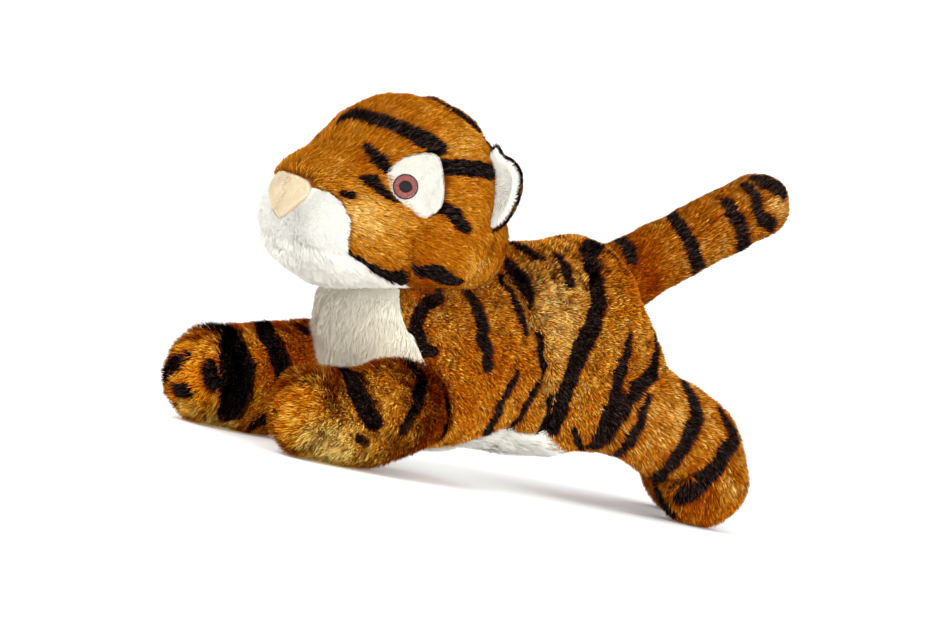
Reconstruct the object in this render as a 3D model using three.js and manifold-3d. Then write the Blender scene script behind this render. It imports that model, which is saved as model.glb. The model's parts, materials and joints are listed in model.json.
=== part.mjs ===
// A plush tiger, stretched out as if it leaps, in millimetres with +Z up.
// It faces -X, its left side is -Y, and it stands on two front paws and two hind feet.
// Its plush is sewn from panels. Each panel is a shell as thick as backing and pile together,
// and each bag of panels holds its own stuffing.
import * as THREE from "three";
import { mergeVertices } from "three/addons/utils/BufferGeometryUtils.js";
import Module from "manifold-3d";

// Driving dimensions of the head
const headLength = 130;
const headWidth = 100;
const headHeight = 100;
const headForward = 97; // the middle of the torso to the middle of the head
const headRise = 143; // the middle of the head above the floor
const neckForward = 82; // the middle of the torso to the neck's turning axis

// Driving dimensions of the torso
const torsoLength = 150;
const torsoWidth = 100;
const torsoHeight = 110;
const torsoRise = 77; // the middle of the torso above the floor

// Driving dimensions of the front legs
const frontLegReach = 106; // the shoulder to the tip of the paw, ahead
const frontLegThick = 51;
const frontLegWide = 46;
const shoulderForward = 72; // the middle of the torso to the shoulder
const shoulderSpread = 84; // between the middles of the two front legs
const shoulderRise = 40;

// Driving dimensions of the hind legs
const hindLegReach = 88; // the hip to the back of the bent leg
const hindLegStretch = 129; // the hip to the tip of the stretched leg
const hindLegThick = 50;
const hindLegWide = 42;
const hipBack = 54; // the middle of the torso to the hip
const hipSpread = 62;
const hipRise = 56;

// Driving dimensions of the tail
const tailLength = 116; // the root to the tip
const tailThick = 33;
const tailBack = 52; // the middle of the torso to the tail's root
const tailRise = 115;
const tailSlopeShare = 0.67; // rise for each millimetre of run

// Driving dimensions of the ears
const earTall = 45;
const earReach = 20;
const earThick = 9;
const earBack = 30; // the middle of the head to the middle of the ear
const earAside = 40;
const earRise = 13;
const earTurn = 5; // degrees that the ear's front faces aside
const earRim = 3; // how far the back fabric laps round the inner one
const earRound = 1.5; // rounding of the ear's edges

// Driving dimensions of the face
const eyePatchWide = 33;
const eyePatchTall = 35;
const eyePatchAlong = 8; // the patch's middle from the head's, square to its aim
const eyePatchRise = 9;
const eyeTurn = 52; // degrees that the eyes face aside
const irisWide = 12;
const pupilWide = 6.6;
const threadThick = 0.8;
const nosePatchWide = 36;
const nosePatchTall = 24;
const noseDrop = 14; // the nose's middle under the head's
const mouthDrop = 36; // the mouth under the head's middle
const crownWide = 38;

// Fabric, gaps and the softness of the forms
const coverThick = 4;
const seamGap = 0.3;
const liningGap = 0.3;
const jointGap = 1.5; // between the torso's shell and a limb or the head that moves in it
const roomGap = 2.6; // between the torso's stuffing and a limb or the head
const blendSoft = 7;
const footFlat = 0.5; // how deep each foot is pressed flat
const overrun = 30;

// Joint travel in degrees
const headTurn = 15;
const legSwing = 12;
const tailSwing = 18;
const swingMargin = 2; // past a limb's travel, before it would touch the torso

// How finely the forms are drawn
const coverFacetCount = 5;
const liningFacetCount = 3;
const roomFacetCount = 4;
const tubeAroundCount = 12;
const roomAroundCount = 10;
const capRingCount = 3;
const legRingCount = 4;
const tailRingCount = 3;
const patchStepCount = 16;
const roundStepCount = 12;
const rayStrideCount = 48;
const rayHalvingCount = 14;

// Head lumps: place and half sizes as shares of the head's length, width and height
const headLumpShares = [
  [0.03, 0, 0.03, 0.41, 0.49, 0.48],
  [-0.36, 0.14, -0.22, 0.19, 0.2, 0.2],
  [-0.36, -0.14, -0.22, 0.19, 0.2, 0.2],
  [-0.3, 0, -0.42, 0.17, 0.22, 0.13],
  [-0.33, 0, 0, 0.2, 0.18, 0.13],
  [-0.05, 0.24, -0.22, 0.26, 0.22, 0.24],
  [-0.05, -0.24, -0.22, 0.26, 0.22, 0.24],
  [0.24, 0.18, -0.22, 0.2, 0.24, 0.24],
  [0.24, -0.18, -0.22, 0.2, 0.24, 0.24],
];

// Torso lumps: place and half sizes as shares of the torso's length, width and height
const torsoLumpShares = [
  [-0.36, 0, -0.1, 0.33, 0.42, 0.48],
  [0, 0, -0.03, 0.38, 0.42, 0.5],
  [0.22, 0, 0.06, 0.22, 0.38, 0.48],
  [0.3, 0.24, -0.04, 0.2, 0.2, 0.3],
  [0.3, -0.24, -0.04, 0.2, 0.2, 0.3],
  [-0.42, 0.26, -0.12, 0.22, 0.2, 0.32],
  [-0.42, -0.26, -0.12, 0.22, 0.2, 0.32],
  [-0.62, 0, 0.08, 0.18, 0.32, 0.28],
];

// Leg middles: shares of the reach, the half spread and the hip or shoulder rise, then shares
// of the half width and half thickness
const lowLegShares = [
  [0, 0.95, 1, 0.94, 0.96],
  [0.26, 1, 0.86, 1, 1],
  [0.52, 1.03, 0.64, 1.02, 1.02],
  [0.78, 1.03, 0.6, 0.94, 0.94],
];
const highLegShares = [
  [0, 0.95, 1, 0.94, 0.96],
  [0.26, 1, 0.9, 1, 1.08],
  [0.52, 1.03, 0.72, 1.02, 1.15],
  [0.81, 1.03, 0.705, 0.98, 1.12],
];
const bentLegShares = [
  [0, 1, 1, 0.96, 1],
  [0.36, 0.98, 0.91, 0.98, 1.06],
  [0.66, 0.94, 0.79, 0.96, 1.06],
  [0.77, 0.92, 0.42, 1, 1.08],
];
const stretchedLegShares = [
  [0, 1, 1, 0.96, 1],
  [0.32, 0.98, 0.93, 0.98, 1],
  [0.63, 0.94, 0.8, 0.96, 0.98],
  [0.8, 0.92, 0.42, 1, 1.02],
];

// Tail middles: shares of its length, then of its thickness
const tailShares = [
  [0, 1],
  [0.4, 0.98],
  [0.87, 0.88],
];

// Seams and patches. The muzzle and hind panels are seen from the side, as shares of the head's
// or torso's length and height; the bib from the front, as shares of width and height; the
// belly from above, as shares of length and width; the patches as shares of their own sizes.
const muzzleShares = [
  [-0.8, -0.05],
  [-0.5, -0.05],
  [-0.46, -0.08],
  [-0.42, -0.17],
  [-0.41, -0.27],
  [-0.39, -0.35],
  [-0.25, -0.43],
  [-0.06, -0.47],
  [0.08, -0.5],
  [0.08, -0.9],
  [-0.8, -0.9],
];
const backOfHeadShares = [
  [0.4, 0.9],
  [0.38, 0.2],
  [0.36, -0.1],
  [0.28, -0.38],
  [0.26, -0.9],
  [0.9, -0.9],
  [0.9, 0.9],
];
const hindPanelShares = [
  [-0.48, 0.9],
  [-0.38, 0.39],
  [-0.18, 0.1],
  [-0.05, -0.22],
  [-0.03, -0.42],
  [-0.03, -0.9],
  [0.9, -0.9],
  [0.9, 0.9],
];
const bibShares = [
  [-0.16, -0.36],
  [0.16, -0.36],
  [0.39, -0.08],
  [0.37, 0.9],
  [-0.37, 0.9],
  [-0.39, -0.08],
];
const bibDepthShare = 0.4; // of the torso's length
const bellyShares = [
  [-0.48, 0.08],
  [-0.44, -0.08],
  [-0.3, -0.2],
  [-0.12, -0.29],
  [0.06, -0.3],
  [0.2, -0.22],
  [0.26, 0],
  [0.2, 0.22],
  [0.06, 0.3],
  [-0.12, 0.29],
  [-0.3, 0.2],
  [-0.44, 0.08],
];
const bellyRiseShare = 0.3; // of the torso's height
const sweepWideShare = 0.2; // of the sweep up and down, added at the sides
const eyePatchShares = [
  [-0.09, 0.4],
  [0.14, 0.5],
  [0.36, 0.35],
  [0.5, -0.19],
  [0.27, -0.5],
  [-0.05, -0.39],
  [-0.46, -0.2],
  [-0.5, -0.06],
  [-0.36, 0.19],
];
const irisPlaceShare = [-0.18, -0.14];
const nosePatchShares = [
  [-0.36, 0.5],
  [0.36, 0.5],
  [0.5, 0.2],
  [0.28, -0.2],
  [0, -0.5],
  [-0.28, -0.2],
  [-0.5, 0.2],
];
const earShares = [
  [-0.5, -0.5],
  [0, -0.5],
  [0.6, -0.36],
  [0.96, -0.02],
  [0.86, 0.3],
  [0.45, 0.48],
  [0, 0.5],
  [-0.5, 0.5],
];

const wasm = await Module();
wasm.setup();

const headMiddle = new THREE.Vector3(-headForward, 0, headRise);
const headSize = new THREE.Vector3(headLength, headWidth, headHeight);
const torsoMiddle = new THREE.Vector3(0, 0, torsoRise);
const torsoSize = new THREE.Vector3(torsoLength, torsoWidth, torsoHeight);
const neck = new THREE.Vector3(-neckForward, 0, torsoRise);
const ahead = new THREE.Vector3(1, 0, 0);
const sideways = new THREE.Vector3(0, 1, 0);
const upward = new THREE.Vector3(0, 0, 1);

/** A closed geometry as a solid that can be cut and joined. */
function solid(geometry) {
  const bare = geometry.clone();
  bare.deleteAttribute("normal");
  bare.deleteAttribute("uv");
  const merged = mergeVertices(bare);
  const mesh = new wasm.Mesh({
    numProp: 3,
    vertProperties: new Float32Array(merged.attributes.position.array),
    triVerts: new Uint32Array(merged.index.array),
  });
  return new wasm.Manifold(mesh);
}

/** A solid as a geometry. */
function geometryOf(shape) {
  const mesh = shape.getMesh();
  const geometry = new THREE.BufferGeometry();
  const place = new THREE.BufferAttribute(new Float32Array(mesh.vertProperties), 3);
  geometry.setAttribute("position", place);
  geometry.setIndex(new THREE.BufferAttribute(new Uint32Array(mesh.triVerts), 1));
  geometry.computeVertexNormals();
  return geometry;
}

/** Lumps in millimetres about a middle, from a table of shares. */
function lumpsFrom(shares, middle, size) {
  return shares.map(([x, y, z, a, b, c]) => ({
    at: new THREE.Vector3(x, y, z).multiply(size).add(middle),
    half: new THREE.Vector3(a, b, c).multiply(size),
  }));
}

/** How far a point lies outside the lumps' soft union: less than zero inside it. */
function outside(point, lumps) {
  let sum = 0;
  for (const { at, half } of lumps) {
    const local = point.clone().sub(at).divide(half);
    const away = (local.length() - 1) * Math.min(half.x, half.y, half.z);
    sum += Math.exp(-away / blendSoft);
  }
  return -blendSoft * Math.log(sum);
}

/** A stuffed form about a middle: the lumps' soft union, grown or drawn in by an offset. */
function swell(middle, lumps, reach, offset, detail) {
  const geometry = new THREE.IcosahedronGeometry(1, detail);
  const place = geometry.attributes.position;
  const stride = reach / rayStrideCount;
  for (let i = 0; i < place.count; i += 1) {
    const ray = new THREE.Vector3().fromBufferAttribute(place, i).normalize();
    const at = (distance) => ray.clone().multiplyScalar(distance).add(middle);
    let near = reach;
    while (near > 0 && outside(at(near), lumps) > offset) near -= stride;
    let far = near + stride;
    for (let step = 0; step < rayHalvingCount; step += 1) {
      const half = (near + far) / 2;
      if (outside(at(half), lumps) > offset) far = half;
      else near = half;
    }
    place.setXYZ(i, ...at(near));
  }
  return solid(geometry);
}

/** A stuffed tube with round ends along a spine of middles, each with its half sizes. */
function stuffedTube(middles, halves, offset, along, around) {
  const spine = new THREE.CatmullRomCurve3(middles, false, "catmullrom");
  const girth = new THREE.CatmullRomCurve3(halves, false, "catmullrom");
  const rings = along + 2 * capRingCount;
  const geometry = new THREE.SphereGeometry(1, around, rings, Math.PI / around);
  const place = geometry.attributes.position;
  for (let i = 0; i < place.count; i += 1) {
    const unit = new THREE.Vector3().fromBufferAttribute(place, i);
    const ring = Math.round((Math.acos(THREE.MathUtils.clamp(unit.y, -1, 1)) / Math.PI) * rings);
    const run = THREE.MathUtils.clamp((ring - capRingCount) / along, 0, 1);
    const past = (ring - capRingCount) / along - run;
    const turn = (Math.abs(past) * along * Math.PI) / (2 * capRingCount);
    const round = Math.hypot(unit.x, unit.z) || 1;
    const half = girth.getPoint(run);
    const tangent = spine.getTangent(run);
    const side = sideways.clone().addScaledVector(tangent, -tangent.y).normalize();
    const top = tangent.clone().cross(side);
    const cap = Math.sign(past) * Math.sin(turn) * ((half.x + half.y) / 2 + offset);
    const point = spine.getPoint(run);
    point.addScaledVector(side, (unit.x / round) * Math.cos(turn) * (half.x + offset));
    point.addScaledVector(top, (unit.z / round) * Math.cos(turn) * (half.y + offset));
    point.addScaledVector(tangent, cap);
    place.setXYZ(i, ...point);
  }
  return solid(geometry);
}

/** A prism of an outline in the plane of two axes, from one depth to another along the third. */
function prism(points, first, second, from, to, middle, bevel = 0) {
  const shape = new THREE.Shape(points.map(([a, b]) => new THREE.Vector2(a, b)));
  const geometry = new THREE.ExtrudeGeometry(shape, {
    depth: to - from - 2 * bevel,
    bevelEnabled: bevel > 0,
    bevelThickness: bevel,
    bevelSize: bevel,
    bevelOffset: -bevel,
    bevelSegments: 1,
  });
  const third = first.clone().cross(second);
  const basis = new THREE.Matrix4().makeBasis(first, second, third);
  basis.setPosition(middle.clone().addScaledVector(third, from + bevel));
  geometry.applyMatrix4(basis);
  return solid(geometry);
}

/** An outline of shares, seen from the left and cut right through the toy. */
function sideCut(shares, size, middle, grow = 0) {
  const points = grown(scaled(shares, size.x, size.z), grow);
  return prism(points, ahead, upward, -torsoWidth, torsoWidth, middle);
}

/** A box between two corners. */
function block(low, high) {
  const size = high.clone().sub(low);
  const geometry = new THREE.BoxGeometry(size.x, size.y, size.z);
  geometry.translate(...low.clone().add(high).divideScalar(2));
  return solid(geometry);
}

/** Outline shares in millimetres. */
function scaled(shares, wide, tall) {
  return shares.map(([x, y]) => [x * wide, y * tall]);
}

/** A closed outline moved outwards, square to its edges. */
function grown(points, by) {
  const turnSign = Math.sign(THREE.ShapeUtils.area(points.map(([x, y]) => ({ x, y }))));
  return points.map(([x, y], i) => {
    const [backX, backY] = points[(i + points.length - 1) % points.length];
    const [nextX, nextY] = points[(i + 1) % points.length];
    const span = Math.hypot(nextX - backX, nextY - backY);
    const push = (turnSign * by) / span;
    return [x + (nextY - backY) * push, y - (nextX - backX) * push];
  });
}

/** A smooth closed outline through a few points. */
function smoothed(points, steps) {
  const corners = points.map(([x, y]) => new THREE.Vector3(x, y, 0));
  const curve = new THREE.CatmullRomCurve3(corners, true);
  return curve.getPoints(steps).slice(0, steps).map((p) => [p.x, p.y]);
}

/** The points of a circle. */
function circle(wide, [x, y]) {
  return Array.from({ length: roundStepCount }, (_, i) => {
    const angle = (i / roundStepCount) * 2 * Math.PI;
    return [x + (Math.cos(angle) * wide) / 2, y + (Math.sin(angle) * wide) / 2];
  });
}

/** A solid turned about an axis through a point, in degrees. */
function turned(shape, axis, angle, pivot) {
  const turn = new THREE.Matrix4().makeRotationAxis(axis, THREE.MathUtils.degToRad(angle));
  const move = new THREE.Matrix4().makeTranslation(pivot.x, pivot.y, pivot.z);
  const back = new THREE.Matrix4().makeTranslation(-pivot.x, -pivot.y, -pivot.z);
  return shape.transform(move.multiply(turn).multiply(back).elements);
}

// Colours of the fabrics
const orange = "#b06a1c";
const gold = "#c08238";
const white = "#f4f2ec";
const cream = "#e6e1d4";
const fibre = "#e9e6dd";
const peach = "#f2d9b6";
const black = "#1a1718";
const threadBrown = "#8b4c46";
const plushRoughness = 0.95;
const feltRoughness = 0.9;
const threadRoughness = 0.6;

const tiger = new THREE.Group();

/** Adds a finished solid to the toy under its name. */
function add(name, shape, color, roughness) {
  const material = new THREE.MeshStandardMaterial({ color, roughness, metalness: 0 });
  const mesh = new THREE.Mesh(geometryOf(shape), material);
  mesh.name = name;
  tiger.add(mesh);
}

/** A leg's spine and half sizes in millimetres on one side of the toy. */
function legLimb(shares, root, reach, side, spread, wide, thick) {
  const middles = shares.map(([x, y, z]) => {
    return new THREE.Vector3(root.x + x * reach, (side * y * spread) / 2, z * root.z);
  });
  const halves = shares.map((row) => {
    return new THREE.Vector3((row[3] * wide) / 2, (row[4] * thick) / 2, 0);
  });
  const sunk = stuffedTube(middles, halves, 0, legRingCount, tubeAroundCount).boundingBox().min[2] + footFlat;
  middles.forEach((middle) => middle.setZ(middle.z - sunk));
  return { middles, halves, pivot: middles[0], rings: legRingCount, swing: legSwing };
}

/** A front leg on one side. */
function frontLeg(name, shares, side) {
  const root = new THREE.Vector3(-shoulderForward, 0, shoulderRise);
  const leg = legLimb(shares, root, -frontLegReach, side, shoulderSpread, frontLegWide, frontLegThick);
  return { ...leg, name, side, aim: -1 };
}

/** A hind leg on one side. */
function hindLeg(name, shares, side, reach) {
  const root = new THREE.Vector3(hipBack, 0, hipRise);
  const leg = legLimb(shares, root, reach, side, hipSpread, hindLegWide, hindLegThick);
  return { ...leg, name, side, aim: 1 };
}

/** The tail, from its root in the rump. */
function tailLimb() {
  const root = new THREE.Vector3(tailBack, 0, tailRise);
  const aim = new THREE.Vector3(1, 0, tailSlopeShare).normalize();
  const middles = tailShares.map(([run]) => root.clone().addScaledVector(aim, run * tailLength));
  const halves = tailShares.map(([, girth]) => {
    return new THREE.Vector3((girth * tailThick) / 2, (girth * tailThick) / 2, 0);
  });
  const tail = { name: "tail", middles, halves, pivot: root, rings: tailRingCount };
  return { ...tail, side: 0, aim: 1, swing: tailSwing };
}

/** The opening through which a limb's sleeve is stuffed and sewn on, inside the torso. */
function sleeveMouth({ pivot, side, aim }) {
  const inner = side === 0 ? torsoWidth : Math.abs(pivot.y);
  const low = new THREE.Vector3(-overrun, -inner, -torsoHeight).add(pivot.clone().setY(0));
  const high = new THREE.Vector3(overrun, inner, torsoHeight).add(pivot.clone().setY(0));
  if (aim < 0) low.x = pivot.x;
  else high.x = pivot.x;
  return block(low, high);
}

const floor = block(
  new THREE.Vector3(-2 * torsoLength, -torsoWidth, -overrun),
  new THREE.Vector3(2 * torsoLength, torsoWidth, 0),
);
const limbs = [
  frontLeg("front_leg_left", lowLegShares, -1),
  frontLeg("front_leg_right", highLegShares, 1),
  hindLeg("hind_leg_left", bentLegShares, -1, hindLegReach),
  hindLeg("hind_leg_right", stretchedLegShares, 1, hindLegStretch),
  tailLimb(),
];
const headLumps = lumpsFrom(headLumpShares, headMiddle, headSize);
const torsoLumps = lumpsFrom(torsoLumpShares, torsoMiddle, torsoSize);

/** The head's form, grown or drawn in by an offset. */
function headForm(offset, detail) {
  return swell(headMiddle, headLumps, headLength, offset, detail);
}

/** The torso's form, grown or drawn in by an offset. */
function torsoForm(offset, detail) {
  return swell(torsoMiddle, torsoLumps, torsoLength, offset, detail);
}

/** A limb's form, grown or drawn in by an offset. */
function limbForm({ middles, halves, rings }, offset) {
  return stuffedTube(middles, halves, offset, rings, tubeAroundCount);
}

/** The room that a limb swings through: its form, thicker with the distance from its joint. */
function sweptForm({ middles, halves, rings, pivot, swing }, gap) {
  const spread = Math.sin(THREE.MathUtils.degToRad(swing + swingMargin));
  const swept = halves.map((half, i) => {
    const sweep = spread * middles[i].distanceTo(pivot);
    return new THREE.Vector3(half.x + sweep * sweepWideShare, half.y + sweep, 0);
  });
  return stuffedTube(middles, swept, gap, rings, roomAroundCount);
}

/** The torso's shell or stuffing less the room for the head and the limbs. */
function withSockets(shape, gap) {
  const head = headForm(gap, roomFacetCount);
  const clear = [-headTurn, 0, headTurn].reduce((left, angle) => {
    return left.subtract(turned(head, upward, angle, neck));
  }, shape);
  return limbs.reduce((left, part) => left.subtract(sweptForm(part, gap)), clear);
}

/** The torso's shell less each limb at both ends of its travel. */
function clearOfEnds(shell) {
  return limbs.reduce((left, part) => {
    const form = limbForm(part, seamGap);
    const low = turned(form, sideways, -part.swing, part.pivot);
    const high = turned(form, sideways, part.swing, part.pivot);
    return left.subtract(low).subtract(high);
  }, shell);
}

/** Legs and tail: a sleeve, open at its root, round its stuffing. */
function buildLimbs() {
  for (const part of limbs) {
    const stuffing = limbForm(part, -coverThick - liningGap);
    const sleeve = limbForm(part, 0).subtract(limbForm(part, -coverThick)).subtract(stuffing);
    const open = sleeve.subtract(sleeveMouth(part));
    add(`${part.name}_cover`, open.subtract(floor), orange, plushRoughness);
    add(`${part.name}_stuffing`, stuffing, fibre, plushRoughness);
  }
}

/** The half of a solid on one side of the toy's middle seam. */
function halfOf(shape, side) {
  const low = new THREE.Vector3(-2 * torsoLength, seamGap / 2, -overrun);
  const high = new THREE.Vector3(2 * torsoLength, torsoWidth, 2 * headRise);
  const right = block(low, high);
  if (side > 0) return shape.intersect(right);
  return shape.intersect(right.transform(new THREE.Matrix4().makeScale(1, -1, 1).elements));
}

/** The torso: bib, belly, shoulder and hind panels round the stuffing. */
function buildTorso() {
  const whole = torsoForm(0, coverFacetCount).subtract(torsoForm(-coverThick, liningFacetCount));
  const shell = clearOfEnds(withSockets(whole, jointGap));
  const bib = (grow) => prism(
    grown(scaled(bibShares, torsoWidth, torsoHeight), grow),
    sideways,
    upward,
    -torsoLength,
    -bibDepthShare * torsoLength + grow,
    torsoMiddle,
  );
  const belly = (grow) => prism(
    grown(smoothed(scaled(bellyShares, torsoLength, torsoWidth), patchStepCount), grow),
    ahead,
    sideways,
    -torsoHeight,
    -bellyRiseShare * torsoHeight + grow,
    torsoMiddle,
  );
  add("chest_bib", shell.intersect(bib(0)), cream, plushRoughness);
  add("belly_panel", shell.subtract(bib(seamGap)).intersect(belly(0)), white, plushRoughness);
  const rest = shell.subtract(bib(seamGap)).subtract(belly(seamGap));
  for (const [name, side] of [["left", -1], ["right", 1]]) {
    const half = halfOf(rest, side);
    const hindCut = sideCut(hindPanelShares, torsoSize, torsoMiddle);
    const hindGap = sideCut(hindPanelShares, torsoSize, torsoMiddle, seamGap);
    add(`shoulder_panel_${name}`, half.subtract(hindGap), orange, plushRoughness);
    add(`hind_panel_${name}`, half.intersect(hindCut), gold, plushRoughness);
  }
  const core = torsoForm(-coverThick - liningGap, liningFacetCount);
  add("torso_stuffing", withSockets(core, roomGap), fibre, plushRoughness);
}

/** A prism in the way that an eye looks, on one side of the head. */
function eyeCut(points, side, from, to) {
  const angle = THREE.MathUtils.degToRad(eyeTurn);
  const along = new THREE.Vector3(Math.sin(angle), side * Math.cos(angle), 0);
  const flipped = points.map(([x, y]) => [y, x]);
  if (side < 0) return prism(points, along, upward, from, to, headMiddle);
  return prism(flipped, upward, along, from, to, headMiddle);
}

/** The eye patch, the stitched iris and pupil, on one side. */
function buildEye(shell, name, side) {
  const points = scaled(eyePatchShares, eyePatchWide, eyePatchTall).map(([x, y]) => {
    return [x + eyePatchAlong, y + eyePatchRise];
  });
  const outline = smoothed(points, patchStepCount);
  const iris = [
    eyePatchAlong + irisPlaceShare[0] * eyePatchWide,
    eyePatchRise + irisPlaceShare[1] * eyePatchTall,
  ];
  const thread = headForm(seamGap + threadThick, coverFacetCount).subtract(headForm(seamGap, coverFacetCount));
  const disc = (wide) => eyeCut(circle(wide, iris), side, 0, headLength);
  add(`eye_patch_${name}`, shell.intersect(eyeCut(outline, side, 0, headLength)), white, feltRoughness);
  const ring = thread.intersect(disc(irisWide)).subtract(disc(pupilWide + 2 * seamGap));
  add(`iris_stitching_${name}`, ring, threadBrown, threadRoughness);
  add(`pupil_stitching_${name}`, thread.intersect(disc(pupilWide)), black, threadRoughness);
  return shell.subtract(eyeCut(grown(outline, seamGap), side, 0, headLength));
}

/** An ear: striped back fabric lapping round a white inner, on one side. */
function buildEar(name, side) {
  const angle = THREE.MathUtils.degToRad(earTurn);
  const out = new THREE.Vector3(Math.sin(angle), side * Math.cos(angle), 0);
  const root = headMiddle.clone().add(new THREE.Vector3(earBack, side * earAside, earRise));
  const outline = smoothed(scaled(earShares, earReach, earTall), patchStepCount);
  const inner = grown(outline, -earRim);
  const clearHead = headForm(seamGap, coverFacetCount);
  const half = earThick / 2;
  const plate = (points, from, to) => {
    if (side < 0) return prism(points, out, upward, from, to, root, earRound);
    return prism(points.map(([x, y]) => [y, x]), upward, out, from, to, root, earRound);
  };
  add(`ear_back_${name}`, plate(outline, -half, -seamGap / 2).subtract(clearHead), orange, plushRoughness);
  add(`ear_inner_${name}`, plate(inner, seamGap / 2, half).subtract(clearHead), white, plushRoughness);
}

/** The head: nose, eyes, muzzle, chin, crown, cheeks and back round the stuffing. */
function buildHead() {
  let shell = headForm(0, coverFacetCount).subtract(headForm(-coverThick, liningFacetCount));
  const nose = smoothed(scaled(nosePatchShares, nosePatchWide, nosePatchTall), patchStepCount);
  const noseMiddle = headMiddle.clone().setZ(headRise - noseDrop);
  const noseCut = (grow) => {
    return prism(grown(nose, grow), sideways, upward, -headLength, 0, noseMiddle);
  };
  add("nose_patch", shell.intersect(noseCut(0)), peach, feltRoughness);
  shell = shell.subtract(noseCut(seamGap));
  shell = buildEye(shell, "left", -1);
  shell = buildEye(shell, "right", 1);
  const under = (drop) => block(
    new THREE.Vector3(-headLength, -headWidth, -headHeight).add(headMiddle),
    new THREE.Vector3(headLength, headWidth, -drop).add(headMiddle),
  );
  const face = shell.intersect(sideCut(muzzleShares, headSize, headMiddle));
  add("muzzle", face.subtract(under(mouthDrop)), white, plushRoughness);
  add("chin", face.intersect(under(mouthDrop + seamGap)), cream, plushRoughness);
  shell = shell.subtract(sideCut(muzzleShares, headSize, headMiddle, seamGap));
  const back = sideCut(backOfHeadShares, headSize, headMiddle);
  add("back_of_head", shell.intersect(back), gold, plushRoughness);
  shell = shell.subtract(sideCut(backOfHeadShares, headSize, headMiddle, seamGap));
  const crown = (grow) => block(
    new THREE.Vector3(-headLength, -crownWide / 2 - grow, 0).add(headMiddle),
    new THREE.Vector3(headLength, crownWide / 2 + grow, headHeight).add(headMiddle),
  );
  add("crown_gusset", shell.intersect(crown(0)), orange, plushRoughness);
  const sides = shell.subtract(crown(seamGap));
  add("cheek_panel_left", halfOf(sides, -1), orange, plushRoughness);
  add("cheek_panel_right", halfOf(sides, 1), orange, plushRoughness);
  add("head_stuffing", headForm(-coverThick - liningGap, liningFacetCount), fibre, plushRoughness);
  buildEar("left", -1);
  buildEar("right", 1);
}

buildHead();
buildTorso();
buildLimbs();

// The origin lies under the middle of the whole toy, on the floor
const extent = new THREE.Box3().setFromObject(tiger);
tiger.position.x = -(extent.min.x + extent.max.x) / 2;

export default tiger;
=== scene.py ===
"""A plush tiger stretched out as if it leaps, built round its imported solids."""

import json
import math

import bmesh
import bpy
import numpy as np
from mathutils import Matrix, Vector


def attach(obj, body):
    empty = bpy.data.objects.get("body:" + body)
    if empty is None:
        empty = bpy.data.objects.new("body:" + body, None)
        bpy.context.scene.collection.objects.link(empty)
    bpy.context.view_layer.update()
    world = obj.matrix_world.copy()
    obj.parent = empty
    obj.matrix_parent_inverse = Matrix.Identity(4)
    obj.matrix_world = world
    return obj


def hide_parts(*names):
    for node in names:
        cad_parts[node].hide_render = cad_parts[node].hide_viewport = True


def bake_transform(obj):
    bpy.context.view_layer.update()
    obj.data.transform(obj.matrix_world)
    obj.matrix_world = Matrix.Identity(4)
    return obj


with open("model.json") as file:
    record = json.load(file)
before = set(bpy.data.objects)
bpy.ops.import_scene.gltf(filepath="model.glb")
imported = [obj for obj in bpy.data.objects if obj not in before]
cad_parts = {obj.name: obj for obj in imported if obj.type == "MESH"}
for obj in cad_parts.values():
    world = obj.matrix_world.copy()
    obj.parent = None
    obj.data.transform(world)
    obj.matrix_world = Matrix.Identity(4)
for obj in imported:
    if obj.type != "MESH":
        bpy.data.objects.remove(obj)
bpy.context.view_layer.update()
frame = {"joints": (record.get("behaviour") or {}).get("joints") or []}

bl_info = {
    "name": "Plush tiger",
    "version": (1, 0, 0),
    "blender": (4, 5, 0),
    "location": "View3D > Sidebar > Tiger",
    "description": "Sews and stuffs a striped plush tiger, with pile on every panel",
    "category": "Add Mesh",
}

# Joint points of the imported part, in millimetres
JOINTS = {j["child"]: np.array(j["pos_m"]) * 1000 for j in frame["joints"]}
# Along X, how far behind the neck the torso's middle is, and how far ahead of that the head's middle is
NECK_TO_TORSO = 82
TORSO_TO_HEAD = 97
TORSO_X = JOINTS["head"][0] + NECK_TO_TORSO
SIDES = ((-1, "left"), (1, "right"))
LEGS = ("front_leg_left", "front_leg_right", "hind_leg_left", "hind_leg_right")
LIMBS = LEGS + ("tail",)
# Locks on a square millimetre of felt and of an ear, and the stitches of an eye
FELT_LOCKS, EAR_LOCKS = 7.0, 4.2
IRIS_SPOKES, IRIS_EDGE, PUPIL_ROWS = 64, 26, 15

# The forms, as shares of their own sizes: each lump's place and half sizes. One off the middle has a twin.
HEAD_LUMPS = [
    (0.015, 0, 0.043, 0.393, 0.49, 0.48),
    (-0.36, 0.14, -0.22, 0.19, 0.2, 0.2),
    (-0.3, 0, -0.41, 0.17, 0.22, 0.13),
    (-0.33, 0, 0, 0.2, 0.18, 0.13),
    (-0.05, 0.24, -0.22, 0.26, 0.22, 0.24),
    (0.24, 0.18, -0.22, 0.2, 0.24, 0.24),
]
TORSO_LUMPS = [
    (-0.36, 0, -0.1, 0.33, 0.42, 0.48),
    (0, 0, -0.03, 0.38, 0.42, 0.5),
    (0.22, 0, 0.06, 0.205, 0.38, 0.48),
    (0.3, 0.24, -0.06, 0.23, 0.2, 0.3),
    (-0.42, 0.26, -0.12, 0.22, 0.2, 0.32),
    (-0.62, 0, 0.08, 0.18, 0.32, 0.28),
]

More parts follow.
